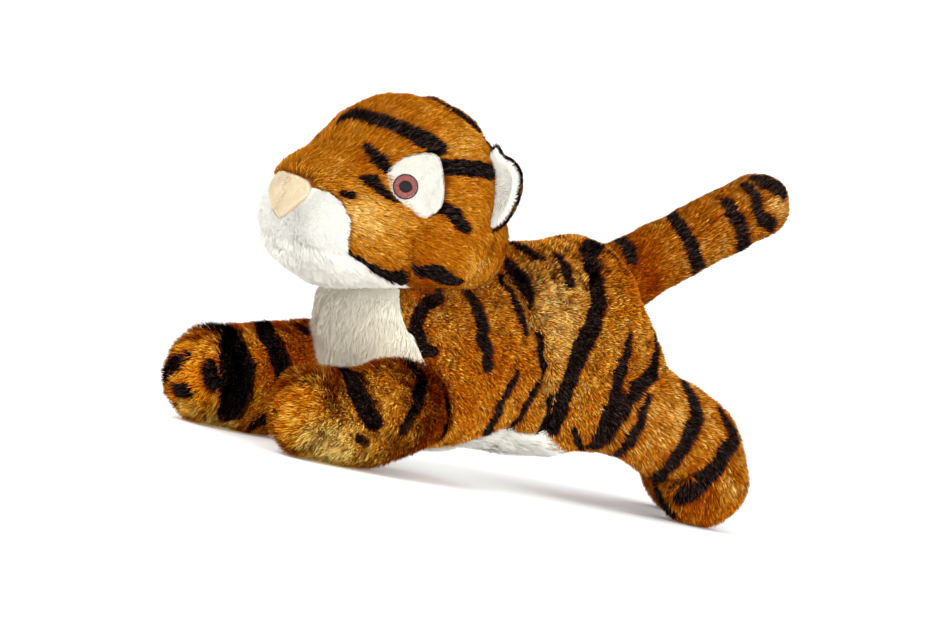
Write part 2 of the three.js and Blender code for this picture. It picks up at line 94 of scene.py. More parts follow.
# Limb spines: shares of reach, half spread and root height, then of half width and thickness. A stance is
# how far apart a pair of legs stands and how high its roots are, in millimetres.
LIMB_ROWS = {
    "front_leg_left": [
        (0, 0.6, 1, 0.78, 0.84),
        (0.26, 1, 0.86, 1, 1),
        (0.52, 1.03, 0.64, 1.02, 1.02),
        (0.755, 1.03, 0.635, 0.95, 0.97),
    ],
    "front_leg_right": [
        (0, 0.6, 1, 0.78, 0.84),
        (0.26, 1, 0.9, 1, 1.08),
        (0.52, 1.03, 0.72, 1.02, 1.18),
        (0.8, 1.03, 0.675, 0.98, 1.06),
    ],
    "hind_leg_left": [
        (0, 1, 1, 0.96, 1),
        (0.36, 0.98, 0.865, 0.98, 1.02),
        (0.645, 0.94, 0.735, 0.96, 1.02),
        (0.785, 0.92, 0.4, 1, 1.05),
    ],
    "hind_leg_right": [
        (0, 1, 1, 0.96, 1),
        (0.32, 0.98, 0.93, 0.98, 1),
        (0.63, 0.94, 0.8, 0.96, 0.98),
        (0.8, 0.92, 0.42, 1, 1.02),
    ],
}
FRONT_STANCE = (84, 40)
HIND_STANCE = (62, 56)
TAIL_ROWS = [(0, 1), (0.4, 0.99), (0.88, 0.95)]
TAIL_AIM = np.array([1.0, 0.0, 0.657])

# Panel outlines, as shares of the head's or torso's sizes, or of the patch's own
MUZZLE = [(-0.8, -0.05), (-0.5, -0.05), (-0.46, -0.08), (-0.42, -0.17), (-0.41, -0.27),
          (-0.39, -0.35), (-0.25, -0.43), (-0.06, -0.47), (0.08, -0.5), (0.08, -0.9), (-0.8, -0.9)]
BACK_OF_HEAD = [(0.4, 0.9), (0.38, 0.2), (0.36, -0.1), (0.28, -0.38), (0.26, -0.9), (0.9, -0.9), (0.9, 0.9)]
HIND_PANEL = [(-0.28, 0.9), (-0.25, 0.41), (-0.22, 0.32), (-0.18, 0.26), (-0.155, 0.19), (-0.13, 0.09),
              (-0.1, 0.015), (-0.07, -0.08), (-0.01, -0.22), (0.035, -0.32), (0.05, -0.44), (0.06, -0.9),
              (0.9, -0.9), (0.9, 0.9)]
HALF_BIB = [(0.2, -0.36), (0.45, -0.14), (0.4, -0.06), (0.35, 0.02), (0.32, 0.12), (0.28, 0.2), (0.28, 0.9)]
BIB = HALF_BIB + [(-x, y) for x, y in HALF_BIB[::-1]]
BELLY = [(-0.48, 0.08), (-0.44, -0.08), (-0.3, -0.2), (-0.12, -0.29), (0.06, -0.3), (0.2, -0.22),
         (0.26, 0), (0.2, 0.22), (0.06, 0.3), (-0.12, 0.29), (-0.3, 0.2), (-0.44, 0.08)]
EYE_PATCH = [(-0.27, 0.34), (0.02, 0.46), (0.23, 0.45), (0.36, 0.24), (0.45, -0.05), (0.46, -0.24),
             (0.38, -0.38), (0.24, -0.48), (0.09, -0.45), (-0.1, -0.36), (-0.32, -0.23), (-0.47, -0.06),
             (-0.49, 0.14)]
NOSE_PATCH = [(-0.36, 0.5), (0.36, 0.5), (0.5, 0.2), (0.28, -0.2), (0, -0.5), (-0.28, -0.2), (-0.5, 0.2)]
EAR = [(-0.5, -0.53), (0, -0.53), (0.6, -0.38), (0.94, -0.05), (0.84, 0.24), (0.48, 0.37), (0, 0.41),
       (-0.5, 0.44)]

# Lines between panels: chin's top and crown's half width in millimetres, the rest as shares of the torso
CHIN_LINE = -36
CROWN_HALF = 19
BIB_END = -0.6
BELLY_TOP = -0.3

# Places of the sewn-on parts from the head's middle, and their sizes, in millimetres
EYE_TURN = 52
EYE_SHIFT = 8
EYE_RISE = 9
EYE_SIZE = (33.0, 35.0)
IRIS_AT = (-0.17, -0.095)
NOSE_DROP = 14
NOSE_SIZE = (34.0, 23.5)
EAR_TURN = 5
EAR_ROOT = (30, 40, 13)
EAR_PUFF = 3.6
# Black bands on the back of an ear, as shares of its height
EAR_BANDS = ((0.16, 1), (-0.09, 0.03), (-1, -0.2))

# Dyed stripes, as the photograph's pixels and a width in pixels at each
HEAD_STRIPES = [
    [(340, 120, 9), (347, 115, 14), (356, 112, 14), (369, 116, 14), (391, 123, 14), (412, 132, 16),
     (433, 142, 18), (440, 147, 14)],
    [(368, 146, 7), (376, 153, 10), (383, 162, 12), (388, 169, 8)],
    [(361, 177, 3), (367, 178, 7), (375, 180, 10), (381, 187, 10), (386, 194, 6), (394, 199, 3),
     (402, 203, 2)],
    [(341, 196, 5), (349, 194, 7), (356, 194, 6)],
    [(442, 165, 12), (466, 167, 14), (491, 171, 14)],
    [(445, 205, 8), (457, 217, 11), (468, 230, 10)],
    [(350, 255, 4), (362, 264, 6), (380, 274, 12), (397, 279, 16), (403, 285, 11)],
    [(417, 268, 8), (433, 273, 15), (450, 280, 16), (462, 284, 9)],
    [(433, 98, 7), (452, 107, 11), (468, 119, 12), (479, 129, 8)],
    [(487, 139, 7), (495, 147, 11), (504, 153, 10)],
]
BODY_STRIPES = [
    [(444, 293, 9), (429, 300, 11), (418, 315, 12), (415, 333, 12), (422, 348, 13), (431, 355, 10)],
    [(466, 292, 9), (476, 306, 13), (482, 322, 13), (484, 345, 13), (487, 367, 11)],
    [(500, 275, 4), (508, 287, 7), (515, 302, 9), (520, 318, 9), (525, 333, 6)],
    [(512, 263, 10), (520, 275, 14), (525, 284, 13), (528, 294, 8), (530, 306, 3)],
    [(537, 335, 2), (539, 344, 3), (541, 356, 4), (542, 366, 5), (541, 377, 6), (538, 387, 6.5),
     (534, 395, 7), (527, 405, 6.5), (520, 416, 6), (514, 425, 6), (507, 432, 6)],
    [(513, 243, 5), (521, 247, 10), (530, 252, 13), (538, 257, 11), (544, 260, 6)],
    [(559, 255, 9), (565, 268, 12), (571, 283, 11)],
    [(595, 242, 18), (591, 255, 16), (595, 278, 14), (600, 303, 14), (593, 326, 17), (578, 356, 19),
     (569, 381, 17), (562, 406, 13), (555, 431, 9)],
    [(630, 337, 4), (626, 352, 8), (618, 375, 12), (614, 402, 12), (603, 437, 16), (593, 446, 14)],
    [(654, 335, 5), (656, 354, 9), (651, 372, 13), (633, 395, 14), (616, 414, 18), (601, 439, 18)],
    [(647, 398, 5), (641, 421, 9), (630, 444, 12), (612, 460, 5)],
    [(681, 380, 10), (693, 401, 17), (697, 420, 19), (684, 444, 17), (669, 466, 15), (655, 479, 12)],
    [(722, 412, 9), (733, 436, 17), (721, 460, 19), (705, 479, 19), (690, 494, 17), (681, 503, 10)],
    [(518, 373, 4), (514, 381, 7), (507, 394, 8.5), (500, 406, 9), (493, 420, 10), (486, 434, 10)],
    [(549, 396, 2), (550, 408, 3.5), (547, 420, 6), (541, 430, 8), (532, 439, 7)],
    [(574, 431, 5), (578, 440, 8), (582, 449, 7)],
    [(610, 253, 4), (620, 264, 5)],
    [(657, 487, 14), (661, 502, 18), (669, 513, 13)],
]
NEAR_ARM_STRIPES = [
    [(338, 365, 11), (349, 376, 19), (357, 393, 21), (366, 411, 20), (376, 423, 14)],
    [(411, 363, 9), (421, 382, 11), (416, 405, 11), (402, 430, 8)],
    [(356, 438, 6), (364, 442, 6)],
    [(444, 398, 6), (448, 414, 9), (445, 433, 9), (441, 446, 7)],
]
FAR_ARM_STRIPES = [
    [(224, 330, 18), (231, 348, 32), (236, 372, 40), (235, 396, 36), (229, 413, 24)],
    [(259, 319, 13), (271, 343, 21), (282, 368, 21), (285, 388, 12)],
    [(209, 369, 14), (210, 382, 16)],
    [(169, 372, 12), (177, 364, 14), (186, 356, 10)],
    [(178, 386, 15), (187, 390, 16)],
    [(297, 326, 9), (306, 333, 7)],
    [(202, 330, 8), (216, 331, 11), (230, 334, 11)],
    [(254, 424, 9), (265, 418, 11), (275, 411, 9)],
]
TAIL_STRIPES = [
    [(617, 235, 11), (628, 246, 13), (632, 259, 10)],
    [(667, 212, 11), (682, 226, 13), (693, 246, 15), (700, 270, 15)],
    [(726, 203, 12), (738, 221, 13), (747, 248, 14)],
    [(744, 183, 9), (755, 199, 11), (763, 217, 12), (776, 226, 9)],
    [(757, 178, 14), (771, 180, 19), (783, 190, 17)],
]

# Pulled-in seams and creases, as pixels, then depth and half width in millimetres
HEAD_SEAMS = [
    ([(414, 236), (412, 258), (408, 286)], 2.0, 1.8),
    ([(498, 236), (485, 262), (470, 286)], 2.6, 2.0),
    ([(438, 101), (468, 121), (496, 147)], 3.0, 12.0),
    ([(270, 248), (280, 246), (288, 243), (297, 246)], 1.3, 2.2),
]
BODY_SEAMS = [
    ([(503, 265), (513, 277), (523, 291), (531, 311), (537, 333), (541, 351), (544, 370), (549, 400),
      (549, 415), (541, 431)], 5.2, 2.8),
    ([(580, 456), (573, 432)], 2.0, 2.5),
]
ARM_SEAMS = [([(382, 430), (395, 444), (424, 453)], 2.4, 2.2)]

# Where painted highlight lays gold on the pile (above zero) and painted shade darkens it (below), partly the
# pile's own gold and russet tone, as pixels, spread in pixels, share
GLOW = [
    (375, 222, 30, 0.66), (352, 208, 14, 0.3), (466, 145, 22, 0.34), (480, 268, 14, 0.45),
    (330, 178, 16, 0.1), (452, 325, 18, 0.05),
    (672, 420, 26, 0.34), (730, 492, 12, 0.8), (700, 385, 14, 0.1), (715, 262, 16, 0.25),
    (655, 262, 12, 0.2), (668, 268, 14, 0.2), (777, 206, 12, 0.8), (706, 213, 16, -0.4),
    (318, 450, 24, 1.4), (515, 270, 14, 0.3), (292, 395, 18, -0.3), (318, 374, 16, 0.4),
    (350, 365, 14, 0.2), (383, 400, 10, 0.2), (345, 454, 30, 1.0),
    (365, 160, 12, -0.35), (422, 262, 14, -0.3), (425, 285, 12, -0.8), (395, 110, 26, -0.12),
    (432, 362, 12, -0.35), (590, 430, 22, -0.3), (640, 258, 28, -0.95),
    (505, 365, 34, -0.45), (465, 400, 34, -0.35), (505, 255, 12, -0.5), (640, 380, 18, -0.2),
    (652, 286, 18, -0.9), (705, 505, 30, -0.75), (430, 240, 18, -0.15), (462, 238, 30, -0.12),
]
# The hind panels' paler gold: partly their own tone, partly painted highlight
HIND_GLOW = [(556, 300, 36, 0.75), (555, 350, 24, 0.5), (553, 394, 20, 0.6)]
# The far front leg's painted highlights and painted shade, partly its own gold and russet tone
FAR_GLOW = [
    (195, 350, 14, 0.1), (180, 412, 14, 0.5), (215, 426, 16, 1.5), (315, 345, 30, -0.9),
    (285, 375, 30, -0.9), (215, 385, 40, -0.3),
]

PHOTO_SIZE = (944, 622)
SEED = 41


def linear(code):
    """An sRGB hex colour as linear red, green and blue."""
    parts = [int(code[i : i + 2], 16) / 255 for i in (1, 3, 5)]
    return tuple(v / 12.92 if v <= 0.04045 else ((v + 0.055) / 1.055) ** 2.4 for v in parts)


def length_property(name, description, default):
    """A size in metres that the sidebar shows, given here in millimetres."""
    return bpy.props.FloatProperty(
        name=name, description=description, default=default / 1000, unit="LENGTH", precision=4
    )


def colour_property(name, description, code):
    """A colour that the sidebar shows, given here as sRGB hex."""
    return bpy.props.FloatVectorProperty(
        name=name, description=description, default=linear(code), subtype="COLOR", size=3, min=0, max=1
    )


class TigerSizes(bpy.types.PropertyGroup):
    """Sizes of the stuffed forms and of what is sewn on them"""

    head_length: length_property("Head length", "Nose to the back of the head", 130)
    head_width: length_property("Head width", "Across the cheeks", 100)
    head_height: length_property("Head height", "Jaw to crown", 100)
    head_rise: length_property("Head rise", "Middle of the head above the floor", 143)
    torso_length: length_property("Torso length", "Chest to rump", 150)
    torso_width: length_property("Torso width", "Across the ribs", 100)
    torso_height: length_property("Torso height", "Belly to back", 110)
    torso_rise: length_property("Torso rise", "Middle of the torso above the floor", 77)
    front_reach: length_property("Front leg reach", "Shoulder to paw tip", 106)
    front_thick: length_property("Front leg thickness", "Top to bottom of the paw", 51)
    front_wide: length_property("Front leg width", "Across the paw", 46)
    hind_reach: length_property("Bent leg reach", "Hip to the back of the bent leg", 88)
    hind_stretch: length_property("Stretched leg reach", "Hip to the tip of the stretched leg", 129)
    hind_thick: length_property("Hind leg thickness", "Top to bottom of the thigh", 50)
    hind_wide: length_property("Hind leg width", "Across the thigh", 42)
    tail_length: length_property("Tail length", "Root to tip", 116)
    tail_thick: length_property("Tail thickness", "Across the tail", 33)
    ear_tall: length_property("Ear height", "Lower to upper root", 45)
    ear_reach: length_property("Ear reach", "Root to rim", 20)
    iris_wide: length_property("Iris width", "Across the stitched ring", 12.6)
    pupil_wide: length_property("Pupil width", "Across the stitched pupil", 6.6)


class TigerPile(bpy.types.PropertyGroup):
    """Lengths and number of the locks of pile"""

    face_pile: length_property("Face pile", "Length of the head's pile", 5.2)
    body_pile: length_property("Body pile", "Length of the body's pile", 3.7)
    limb_pile: length_property("Limb pile", "Length of the pile on legs and tail", 4.8)
    chest_pile: length_property("Chest pile", "Length of the pale chest and belly pile", 7)
    muzzle_pile: length_property("Muzzle pile", "Length of the short white pile", 2.0)
    strand: length_property("Lock width", "Width of one lock of fibres", 0.4)
    per_square: bpy.props.FloatProperty(
        name="Locks", description="Locks of fibres on a square millimetre", default=3.6, min=0.1
    )


class TigerColours(bpy.types.PropertyGroup):
    """Dyes of the pile, felt and thread, and the colours of the pile's painted highlights and painted shade
    """

    # Gold is partly the pile's own lighter tone and partly painted highlight
    gold: colour_property("Gold", "Tips of the orange pile where it shines", "#F2C272")
    orange: colour_property("Orange", "The orange pile", "#AC6309")
    # Honey, halfway to gold, is likewise partly painted highlight
    honey: colour_property("Honey", "Orange pile halfway to its shine", "#D0922E")
    # Brown is painted shade: darkened, it colours the backing cloth behind the ears' orange pile
    brown: colour_property("Brown", "Depth of the orange pile", "#6A3606")
    # Russet is partly the pile's own darker tone and partly painted shade
    russet: colour_property("Russet", "Orange pile that lies flat and dark", "#8E3C08")
    black: colour_property("Black", "The dyed stripes", "#0B0605")
    glint: colour_property("Glint", "Shine on a few black fibres", "#5A4B45")
    white: colour_property("White", "Muzzle, belly and ears", "#EBE9E0")
    felt: colour_property("Felt", "The eye patches", "#DCD9CF")
    cream: colour_property("Cream", "Chest and chin", "#E6DFCB")
    peach: colour_property("Peach", "The nose", "#D9C7A8")
    iris: colour_property("Iris", "Thread of the iris", "#8B4C46")
    pupil: colour_property("Pupil", "Thread of the pupil", "#1A1718")


def sizes():
    return bpy.context.scene.tiger_sizes


def pile():
    return bpy.context.scene.tiger_pile


def colours():
    return bpy.context.scene.tiger_colours


def mm(value):
    """A sidebar size in millimetres."""
    return value * 1000


def thinned(density):
    """Locks on a square millimetre."""
    return density * 1.0


# Camera of the photograph

PHOTO_AIM = (-38.0, 4.0, 13.6)
PHOTO_SCALE = 0.525
PHOTO_ORIGIN = (477.9, 481.4)
PHOTO_DISTANCE = 10000.0
PHOTO_MIDDLE = 6.6


def photo_axes():
    """Towards the camera, right and up, in the row frame."""
    turn, lift = math.radians(PHOTO_AIM[0]), math.radians(PHOTO_AIM[1])
    back = np.array([math.sin(turn) * math.cos(lift), -math.cos(turn) * math.cos(lift), math.sin(lift)])
    right = np.array([math.cos(turn), math.sin(turn), 0.0])
    return back, right, np.cross(back, right)


def photo_target():
    """The point that the camera looks at, halfway into the toy."""
    back, right, up = photo_axes()
    roll = math.radians(PHOTO_AIM[2])
    x = (PHOTO_SIZE[0] / 2 - PHOTO_ORIGIN[0]) * PHOTO_SCALE
    y = -(PHOTO_SIZE[1] / 2 - PHOTO_ORIGIN[1]) * PHOTO_SCALE
    along = x * math.cos(roll) - y * math.sin(roll)
    rise = x * math.sin(roll) + y * math.cos(roll)
    return along * right + rise * up + PHOTO_MIDDLE * back


def to_photo(points):
    """Points in millimetres as pixels of the photograph, and how near each is to the camera."""
    back, right, up = photo_axes()
    roll = math.radians(PHOTO_AIM[2])
    local = points - photo_target()
    depth = local @ back
    shrink = PHOTO_DISTANCE / (PHOTO_DISTANCE - depth) / PHOTO_SCALE
    x, y = local @ right, local @ up
    across = (x * math.cos(roll) + y * math.sin(roll)) * shrink
    down = -(-x * math.sin(roll) + y * math.cos(roll)) * shrink
    return np.stack([across + PHOTO_SIZE[0] / 2, down + PHOTO_SIZE[1] / 2], 1), depth


# Forms


def dots(a, b):
    """Dot product of each pair of rows."""
    return np.einsum("ij,ij->i", a, b)


def even_turns(count):
    """Angles evenly round a circle."""
    return np.arange(count) / count * 2 * math.pi


def unit(vectors):
    """Vectors at length one."""
    return vectors / np.maximum(np.linalg.norm(vectors, axis=-1, keepdims=True), 1e-9)


def lumps(rows, middle, size):
    """Places and half sizes of a form's lumps, in millimetres."""
    twins = [(x, side * y, z, *half) for x, y, z, *half in rows for side in ((1, -1) if y else (1,))]
    rows = np.array(twins, float)
    return middle + rows[:, :3] * size, rows[:, 3:] * size


def outside(points, form, soft=7.0):
    """How far points lie outside the soft union of a form's lumps."""
    total = np.zeros(len(points))
    for at, half in zip(*form):
        away = (np.linalg.norm((points - at) / half, axis=1) - 1) * half.min()
        total += np.exp(-away / soft)
    return -soft * np.log(total)


def normals_of(points, faces):
    """Smooth outward directions at a mesh's points."""
    corner = points[faces]
    cross = np.cross(corner[:, 1] - corner[:, 0], corner[:, 2] - corner[:, 0])
    total = np.zeros_like(points)
    for k in range(3):
        for axis in range(3):
            total[:, axis] += np.bincount(faces[:, k], cross[:, axis], len(points))
    return unit(total)


def swell(middle, form, reach, steps=6):
    """A stuffed form's skin: an even net of points blown out from a middle to the lumps' union."""
    ball = bmesh.new()
    bmesh.ops.create_icosphere(ball, subdivisions=steps, radius=1)
    rays = unit(np.array([v.co for v in ball.verts]))
    faces = np.array([[v.index for v in f.verts] for f in ball.faces])
    ball.free()
    near = np.full(len(rays), reach)
    stride = reach / 48
    out = np.ones(len(rays), bool)
    while out.any() and near.max() > 0:
        out = (outside(middle + rays * near[:, None], form) > 0) & (near > 0)
        near[out] -= stride
    far = near + stride
    for _ in range(12):
        half = (near + far) / 2
        beyond = outside(middle + rays * half[:, None], form) > 0
        far = np.where(beyond, half, far)
        near = np.where(beyond, near, half)
    points = middle + rays * near[:, None]
    return points, faces


def catmull_rom(ends, place, k):
    """Points and slopes of a Catmull-Rom curve at places along it, each in its span k."""
    t = (place - k)[:, None]
    a, b, c, d = ends[k], ends[k + 1], ends[k + 2], ends[k + 3]
    first, last = (c - a) / 2, (d - b) / 2
    square, cube = 3 * (c - b) - 2 * first - last, 2 * (b - c) + first + last
    return b + first * t + square * t**2 + cube * t**3, first + 2 * square * t + 3 * cube * t**2


def through(rows, run):
    """An even curve through rows, and its slope, at shares of its whole run."""
    rows = np.array(rows, float)
    ends = np.vstack([2 * rows[0] - rows[1], rows, 2 * rows[-1] - rows[-2]])
    place = np.clip(np.asarray(run, float), 0, 1) * (len(rows) - 1)
    point, slope = catmull_rom(ends, place, np.minimum(place.astype(int), len(rows) - 2))
    return point, unit(slope)


def tube(middles, halves, along=44, around=72, cap=12):
    """A stuffed tube's skin, its ends round."""
    start = [(0.0, -math.pi / 2 * (1 - k / cap)) for k in range(1, cap)]
    straight = [(k / along, 0.0) for k in range(along + 1)]
    end = [(1.0, math.pi / 2 * k / cap) for k in range(1, cap)]
    run, bend = np.array(start + straight + end).T
    spine, slope = through(middles, run)
    half = through(halves, run)[0]
    side = unit(np.array([0.0, 1.0, 0.0]) - slope * slope[:, 1:2])
    top = np.cross(slope, side)
    turn = even_turns(around)
    reach = (half[:, 0] + half[:, 1]) / 2
    centre = spine + slope * (np.sin(bend) * reach)[:, None]
    wide, tall = (half * np.cos(bend)[:, None]).T[:, :, None, None]
    rings = (
        centre[:, None]
        + side[:, None] * (np.cos(turn)[None, :, None] * wide)
        + top[:, None] * (np.sin(turn)[None, :, None] * tall)
    )
    poles = [spine[0] - slope[0] * reach[0], spine[-1] + slope[-1] * reach[-1]]
    points = np.vstack([rings.reshape(-1, 3), *poles])
    count = len(run)
    first, last = count * around, count * around + 1
    k, j = np.meshgrid(np.arange(count - 1), np.arange(around), indexing="ij")
    a = (k * around + j).ravel()
    b = (k * around + (j + 1) % around).ravel()
    c, d = a + around, b + around
    faces = [np.stack([a, b, d], 1), np.stack([a, d, c], 1)]
    j = np.arange(around)
    faces.append(np.stack([np.full(around, first), (j + 1) % around, j], 1))
    top_row = (count - 1) * around
    faces.append(np.stack([np.full(around, last), top_row + j, top_row + (j + 1) % around], 1))
    faces = np.vstack(faces)
    a, b, c = points[faces].transpose(1, 0, 2)
    volume = dots(a, np.cross(b, c)).sum()
    return points, faces if volume > 0 else faces[:, ::-1]


def smoothed(outline, steps=48):
    """A closed outline rounded through its corners."""
    rows = np.array(outline, float)
    ends = np.vstack([rows[-1], rows, rows[0], rows[1]])
    place = np.arange(steps) / steps * len(rows)
    return catmull_rom(ends, place, place.astype(int))[0]


def within(x, y, outline):
    """Whether points lie inside a closed outline."""
    inside = np.zeros(len(x), bool)
    for (ax, ay), (bx, by) in zip(outline, np.roll(outline, -1, 0)):
        crossing = (ay > y) != (by > y)
        inside ^= crossing & (x < (bx - ax) * (y - ay) / (by - ay + 1e-12) + ax)
    return inside


def waves(points, scale, seed):
    """A smooth random swell from -1 to 1 whose bumps are about that many millimetres wide."""
    chance = np.random.default_rng(seed)
    total = np.zeros(len(points))
    for _ in range(7):
        way = unit(chance.normal(size=3)) * (2 * math.pi / scale) * chance.uniform(0.6, 1.5)
        total += np.sin(points @ way + chance.uniform(0, 6.28))
    return total / 3.2


def head_place():
    """Middle and size of the head, in millimetres."""
    s = sizes()
    size = np.array([mm(s.head_length), mm(s.head_width), mm(s.head_height)])
    return np.array([TORSO_X - TORSO_TO_HEAD, 0.0, mm(s.head_rise)]), size


def torso_place():
    """Middle and size of the torso, in millimetres."""
    s = sizes()
    size = np.array([mm(s.torso_length), mm(s.torso_width), mm(s.torso_height)])
    return np.array([TORSO_X, 0.0, mm(s.torso_rise)]), size


def limb_spine(name):
    """Middles and half sizes along a leg or the tail, in millimetres."""
    s = sizes()
    root = JOINTS[name]
    if name == "tail":
        aim = unit(TAIL_AIM)
        middles = [root + aim * run * mm(s.tail_length) for run, _ in TAIL_ROWS]
        halves = [(g * mm(s.tail_thick) / 2, g * mm(s.tail_thick) / 2) for _, g in TAIL_ROWS]
        return np.array(middles), np.array(halves)
    front = name.startswith("front")
    side = -1 if name.endswith("left") else 1
    reach = -mm(s.front_reach) if front else mm(s.hind_reach if side < 0 else s.hind_stretch)
    spread, rise = FRONT_STANCE if front else HIND_STANCE
    wide, thick = (s.front_wide, s.front_thick) if front else (s.hind_wide, s.hind_thick)
    rows = LIMB_ROWS[name]
    middles = [
        (root[0] + x * reach, side * y * spread / 2, z * rise + root[2] - rise) for x, y, z, _, _ in rows
    ]
    halves = [(a * mm(wide) / 2, b * mm(thick) / 2) for _, _, _, a, b in rows]
    return np.array(middles), np.array(halves)


class Skin:
    """A form's outer skin: points in millimetres, faces, outward ways, and its shell, which has no seams."""

    def __init__(self, points, faces):
        self.points = points
        self.faces = faces
        self.out = normals_of(points, faces)
        self.shell = points

    def move(self, by):
        """Moves the skin along its outward directions."""
        self.points = self.points + self.out * by[:, None]
        self.out = normals_of(self.points, self.faces)


def spine_distance(points, name):
    """How far points lie outside a limb, and the way along it there."""
    middles, halves = limb_spine(name)
    run = np.linspace(0, 1, 40)
    spine, slope = through(middles, run)
    girth = through(halves, run)[0].mean(1)
    best = np.full(len(points), 1e9)
    nearest = np.zeros(len(points), int)
    for k in range(len(run)):
        away = np.linalg.norm(points - spine[k], axis=1) - girth[k]
        closer = away < best
        best[closer] = away[closer]
        nearest[closer] = k
    return best, slope[nearest], run[nearest]


def along_pixels(row, step=7.0):
    """A row of pixels with more between them, so that a curve hugs the skin."""
    row = np.array(row, float)
    out = [row[0]]
    for a, b in zip(row[:-1], row[1:]):
        count = max(1, int(np.linalg.norm((b - a)[:2]) / step))
        out += [a + (b - a) * k / count for k in range(1, count + 1)]
    return np.array(out)


def onto(skins, pixels, lift):
    """Where the photograph's pixels fall on the nearest visible skin, if it is seen that far proud."""
    points = np.vstack([s.points for s in skins])
    out = np.vstack([s.out for s in skins])
    seen = out @ photo_axes()[0] > 0.08
    points, out = points[seen], out[seen]
    spots, depth = to_photo(points + lift * out)
    found = []
    for x, y in pixels:
        gap = np.hypot(spots[:, 0] - x, spots[:, 1] - y)
        close = gap < max(2.5, gap.min() + 0.5)
        found.append(points[close][np.argmax(depth[close])])
    return np.array(found)


def curve_distance(points, curve, widths=None, out=None):
    """How far points are from a curve, less its half width; along the skin if its outward way is given."""
    best = np.full(len(points), 1e9)
    for k in range(len(curve) - 1):
        span = curve[k + 1] - curve[k]
        t = np.clip(((points - curve[k]) @ span) / max(span @ span, 1e-9), 0, 1)
        gap = points - curve[k] - t[:, None] * span
        away = np.linalg.norm(gap, axis=1)
        if out is not None:
            lift = np.abs(dots(gap, out))
            away = np.sqrt(np.maximum(away**2 - np.minimum(lift, 5.0) ** 2, 0))
        if widths is not None:
            away = away - (widths[k] + (widths[k + 1] - widths[k]) * t) / 2
        best = np.minimum(best, away)
    return best


# Forms as they are sewn and stuffed

# How far in from the pile's outside the cloth lies, in millimetres
INSET = 2.4
FORMS = {}


def mirrored(points):
    """Points on the other side of the toy."""
    return points * np.array([1, -1, 1])


def ink_curve(skins, row):
    """One dyed stripe as a curve on the skins, with its widths in millimetres."""
    pixels = along_pixels(row)
    return onto(skins, pixels[:, :2], 1.2), pixels[:, 2] * PHOTO_SCALE


def sunk(points, curves):
    """How far seams and creases pull the skin in."""
    total = np.zeros(len(points))
    for curve, depth, half in curves:
        total += depth * np.exp(-((np.maximum(curve_distance(points, curve), 0) / half) ** 2))
    return total


NO_TRIS, NO_QUADS = np.zeros((0, 3), int), np.zeros((0, 4), int)


def edges_of(faces):
    """The three edges of each triangle, one side after the other."""
    return np.vstack([faces[:, [0, 1]], faces[:, [1, 2]], faces[:, [2, 0]]])


def border_points(points, faces, panel):
    """Middles of the edges where one panel meets another."""
    owner = np.tile(panel, 3)
    edges = np.sort(edges_of(faces), 1)
    order = np.lexsort((edges[:, 1], edges[:, 0]))
    edges, owner = edges[order], owner[order]
    same = (edges[:-1] == edges[1:]).all(1) & (owner[:-1] != owner[1:])
    return points[edges[:-1][same]].mean(1)


def nearest(points, others):
    """How far each point is from the nearest of some others."""
    best = np.full(len(points), 1e9)
    if len(others) == 0:
        return best
    for k in range(0, len(points), 4000):
        part = points[k : k + 4000]
        best[k : k + 4000] = np.sqrt(((part[:, None] - others[None]) ** 2).sum(2).min(1))
    return best


# How wide a limb's join to the torso is rounded, and how much of that the limb itself takes
JOIN = {"front": (5.5, 0.6), "hind_": (6.5, 0.35), "tail": (3.0, 0.6)}
TORSO_JOIN = 0.7
# How far a form's whole skin lies out, and how lumpy its stuffing is in broad and fine swells
PLUMP = {"torso": -0.6, "tail": 1.7}
LUMPY = {"head": 0.9, "torso": 0.9}
FINE_LUMPY = 0.35
# Those swells' widths in millimetres, each with its seed
BROAD, FINE = (26, 5), (11, 6)
# The bib's fullness, the back's sag, a paw's taper, and the depth and half width of a seam between panels
BIB_PLUMP = 2.2
BACK_SAG = 1.1
PAW_TAPER = 2.2
SEAM_DEPTH = 0.9
SEAM_HALF = 1.7
# The fold at the nose: how far in front of the head's middle, its depth and half width
NOSE_FOLD = (0.58, 2.2, 12.0)


def swollen(away, name, share):
    """How far a skin lies out near the join of a limb, by its distance from the other form."""
    soft = JOIN[name[:5]][0]
    return share * soft * np.exp(-np.abs(away) / soft)


def seam_curves(skins, head_size):
    """Every pulled-in seam and crease of a form as curves, each with its depth and half width."""
    ahead, depth, half = NOSE_FOLD
    nose = nose_patch().middle - np.array([head_size[0] * ahead, 0, 0])
    seams = {"head": [(np.array([nose, nose + (0.1, 0, 0)]), depth, half)]}
    for name, rows in (("head", HEAD_SEAMS), ("torso", BODY_SEAMS), ("front_leg_left", ARM_SEAMS)):
        found = seams.setdefault(name, [])
        for pixels, depth, half in rows:
            row = along_pixels([(x, y, 0) for x, y in pixels])
            curve = onto([skins[name]], row[:, :2], 1.0 - INSET)
            found.append((curve, depth, half))
            if name != "front_leg_left":
                found.append((mirrored(curve), depth, half))
    return seams


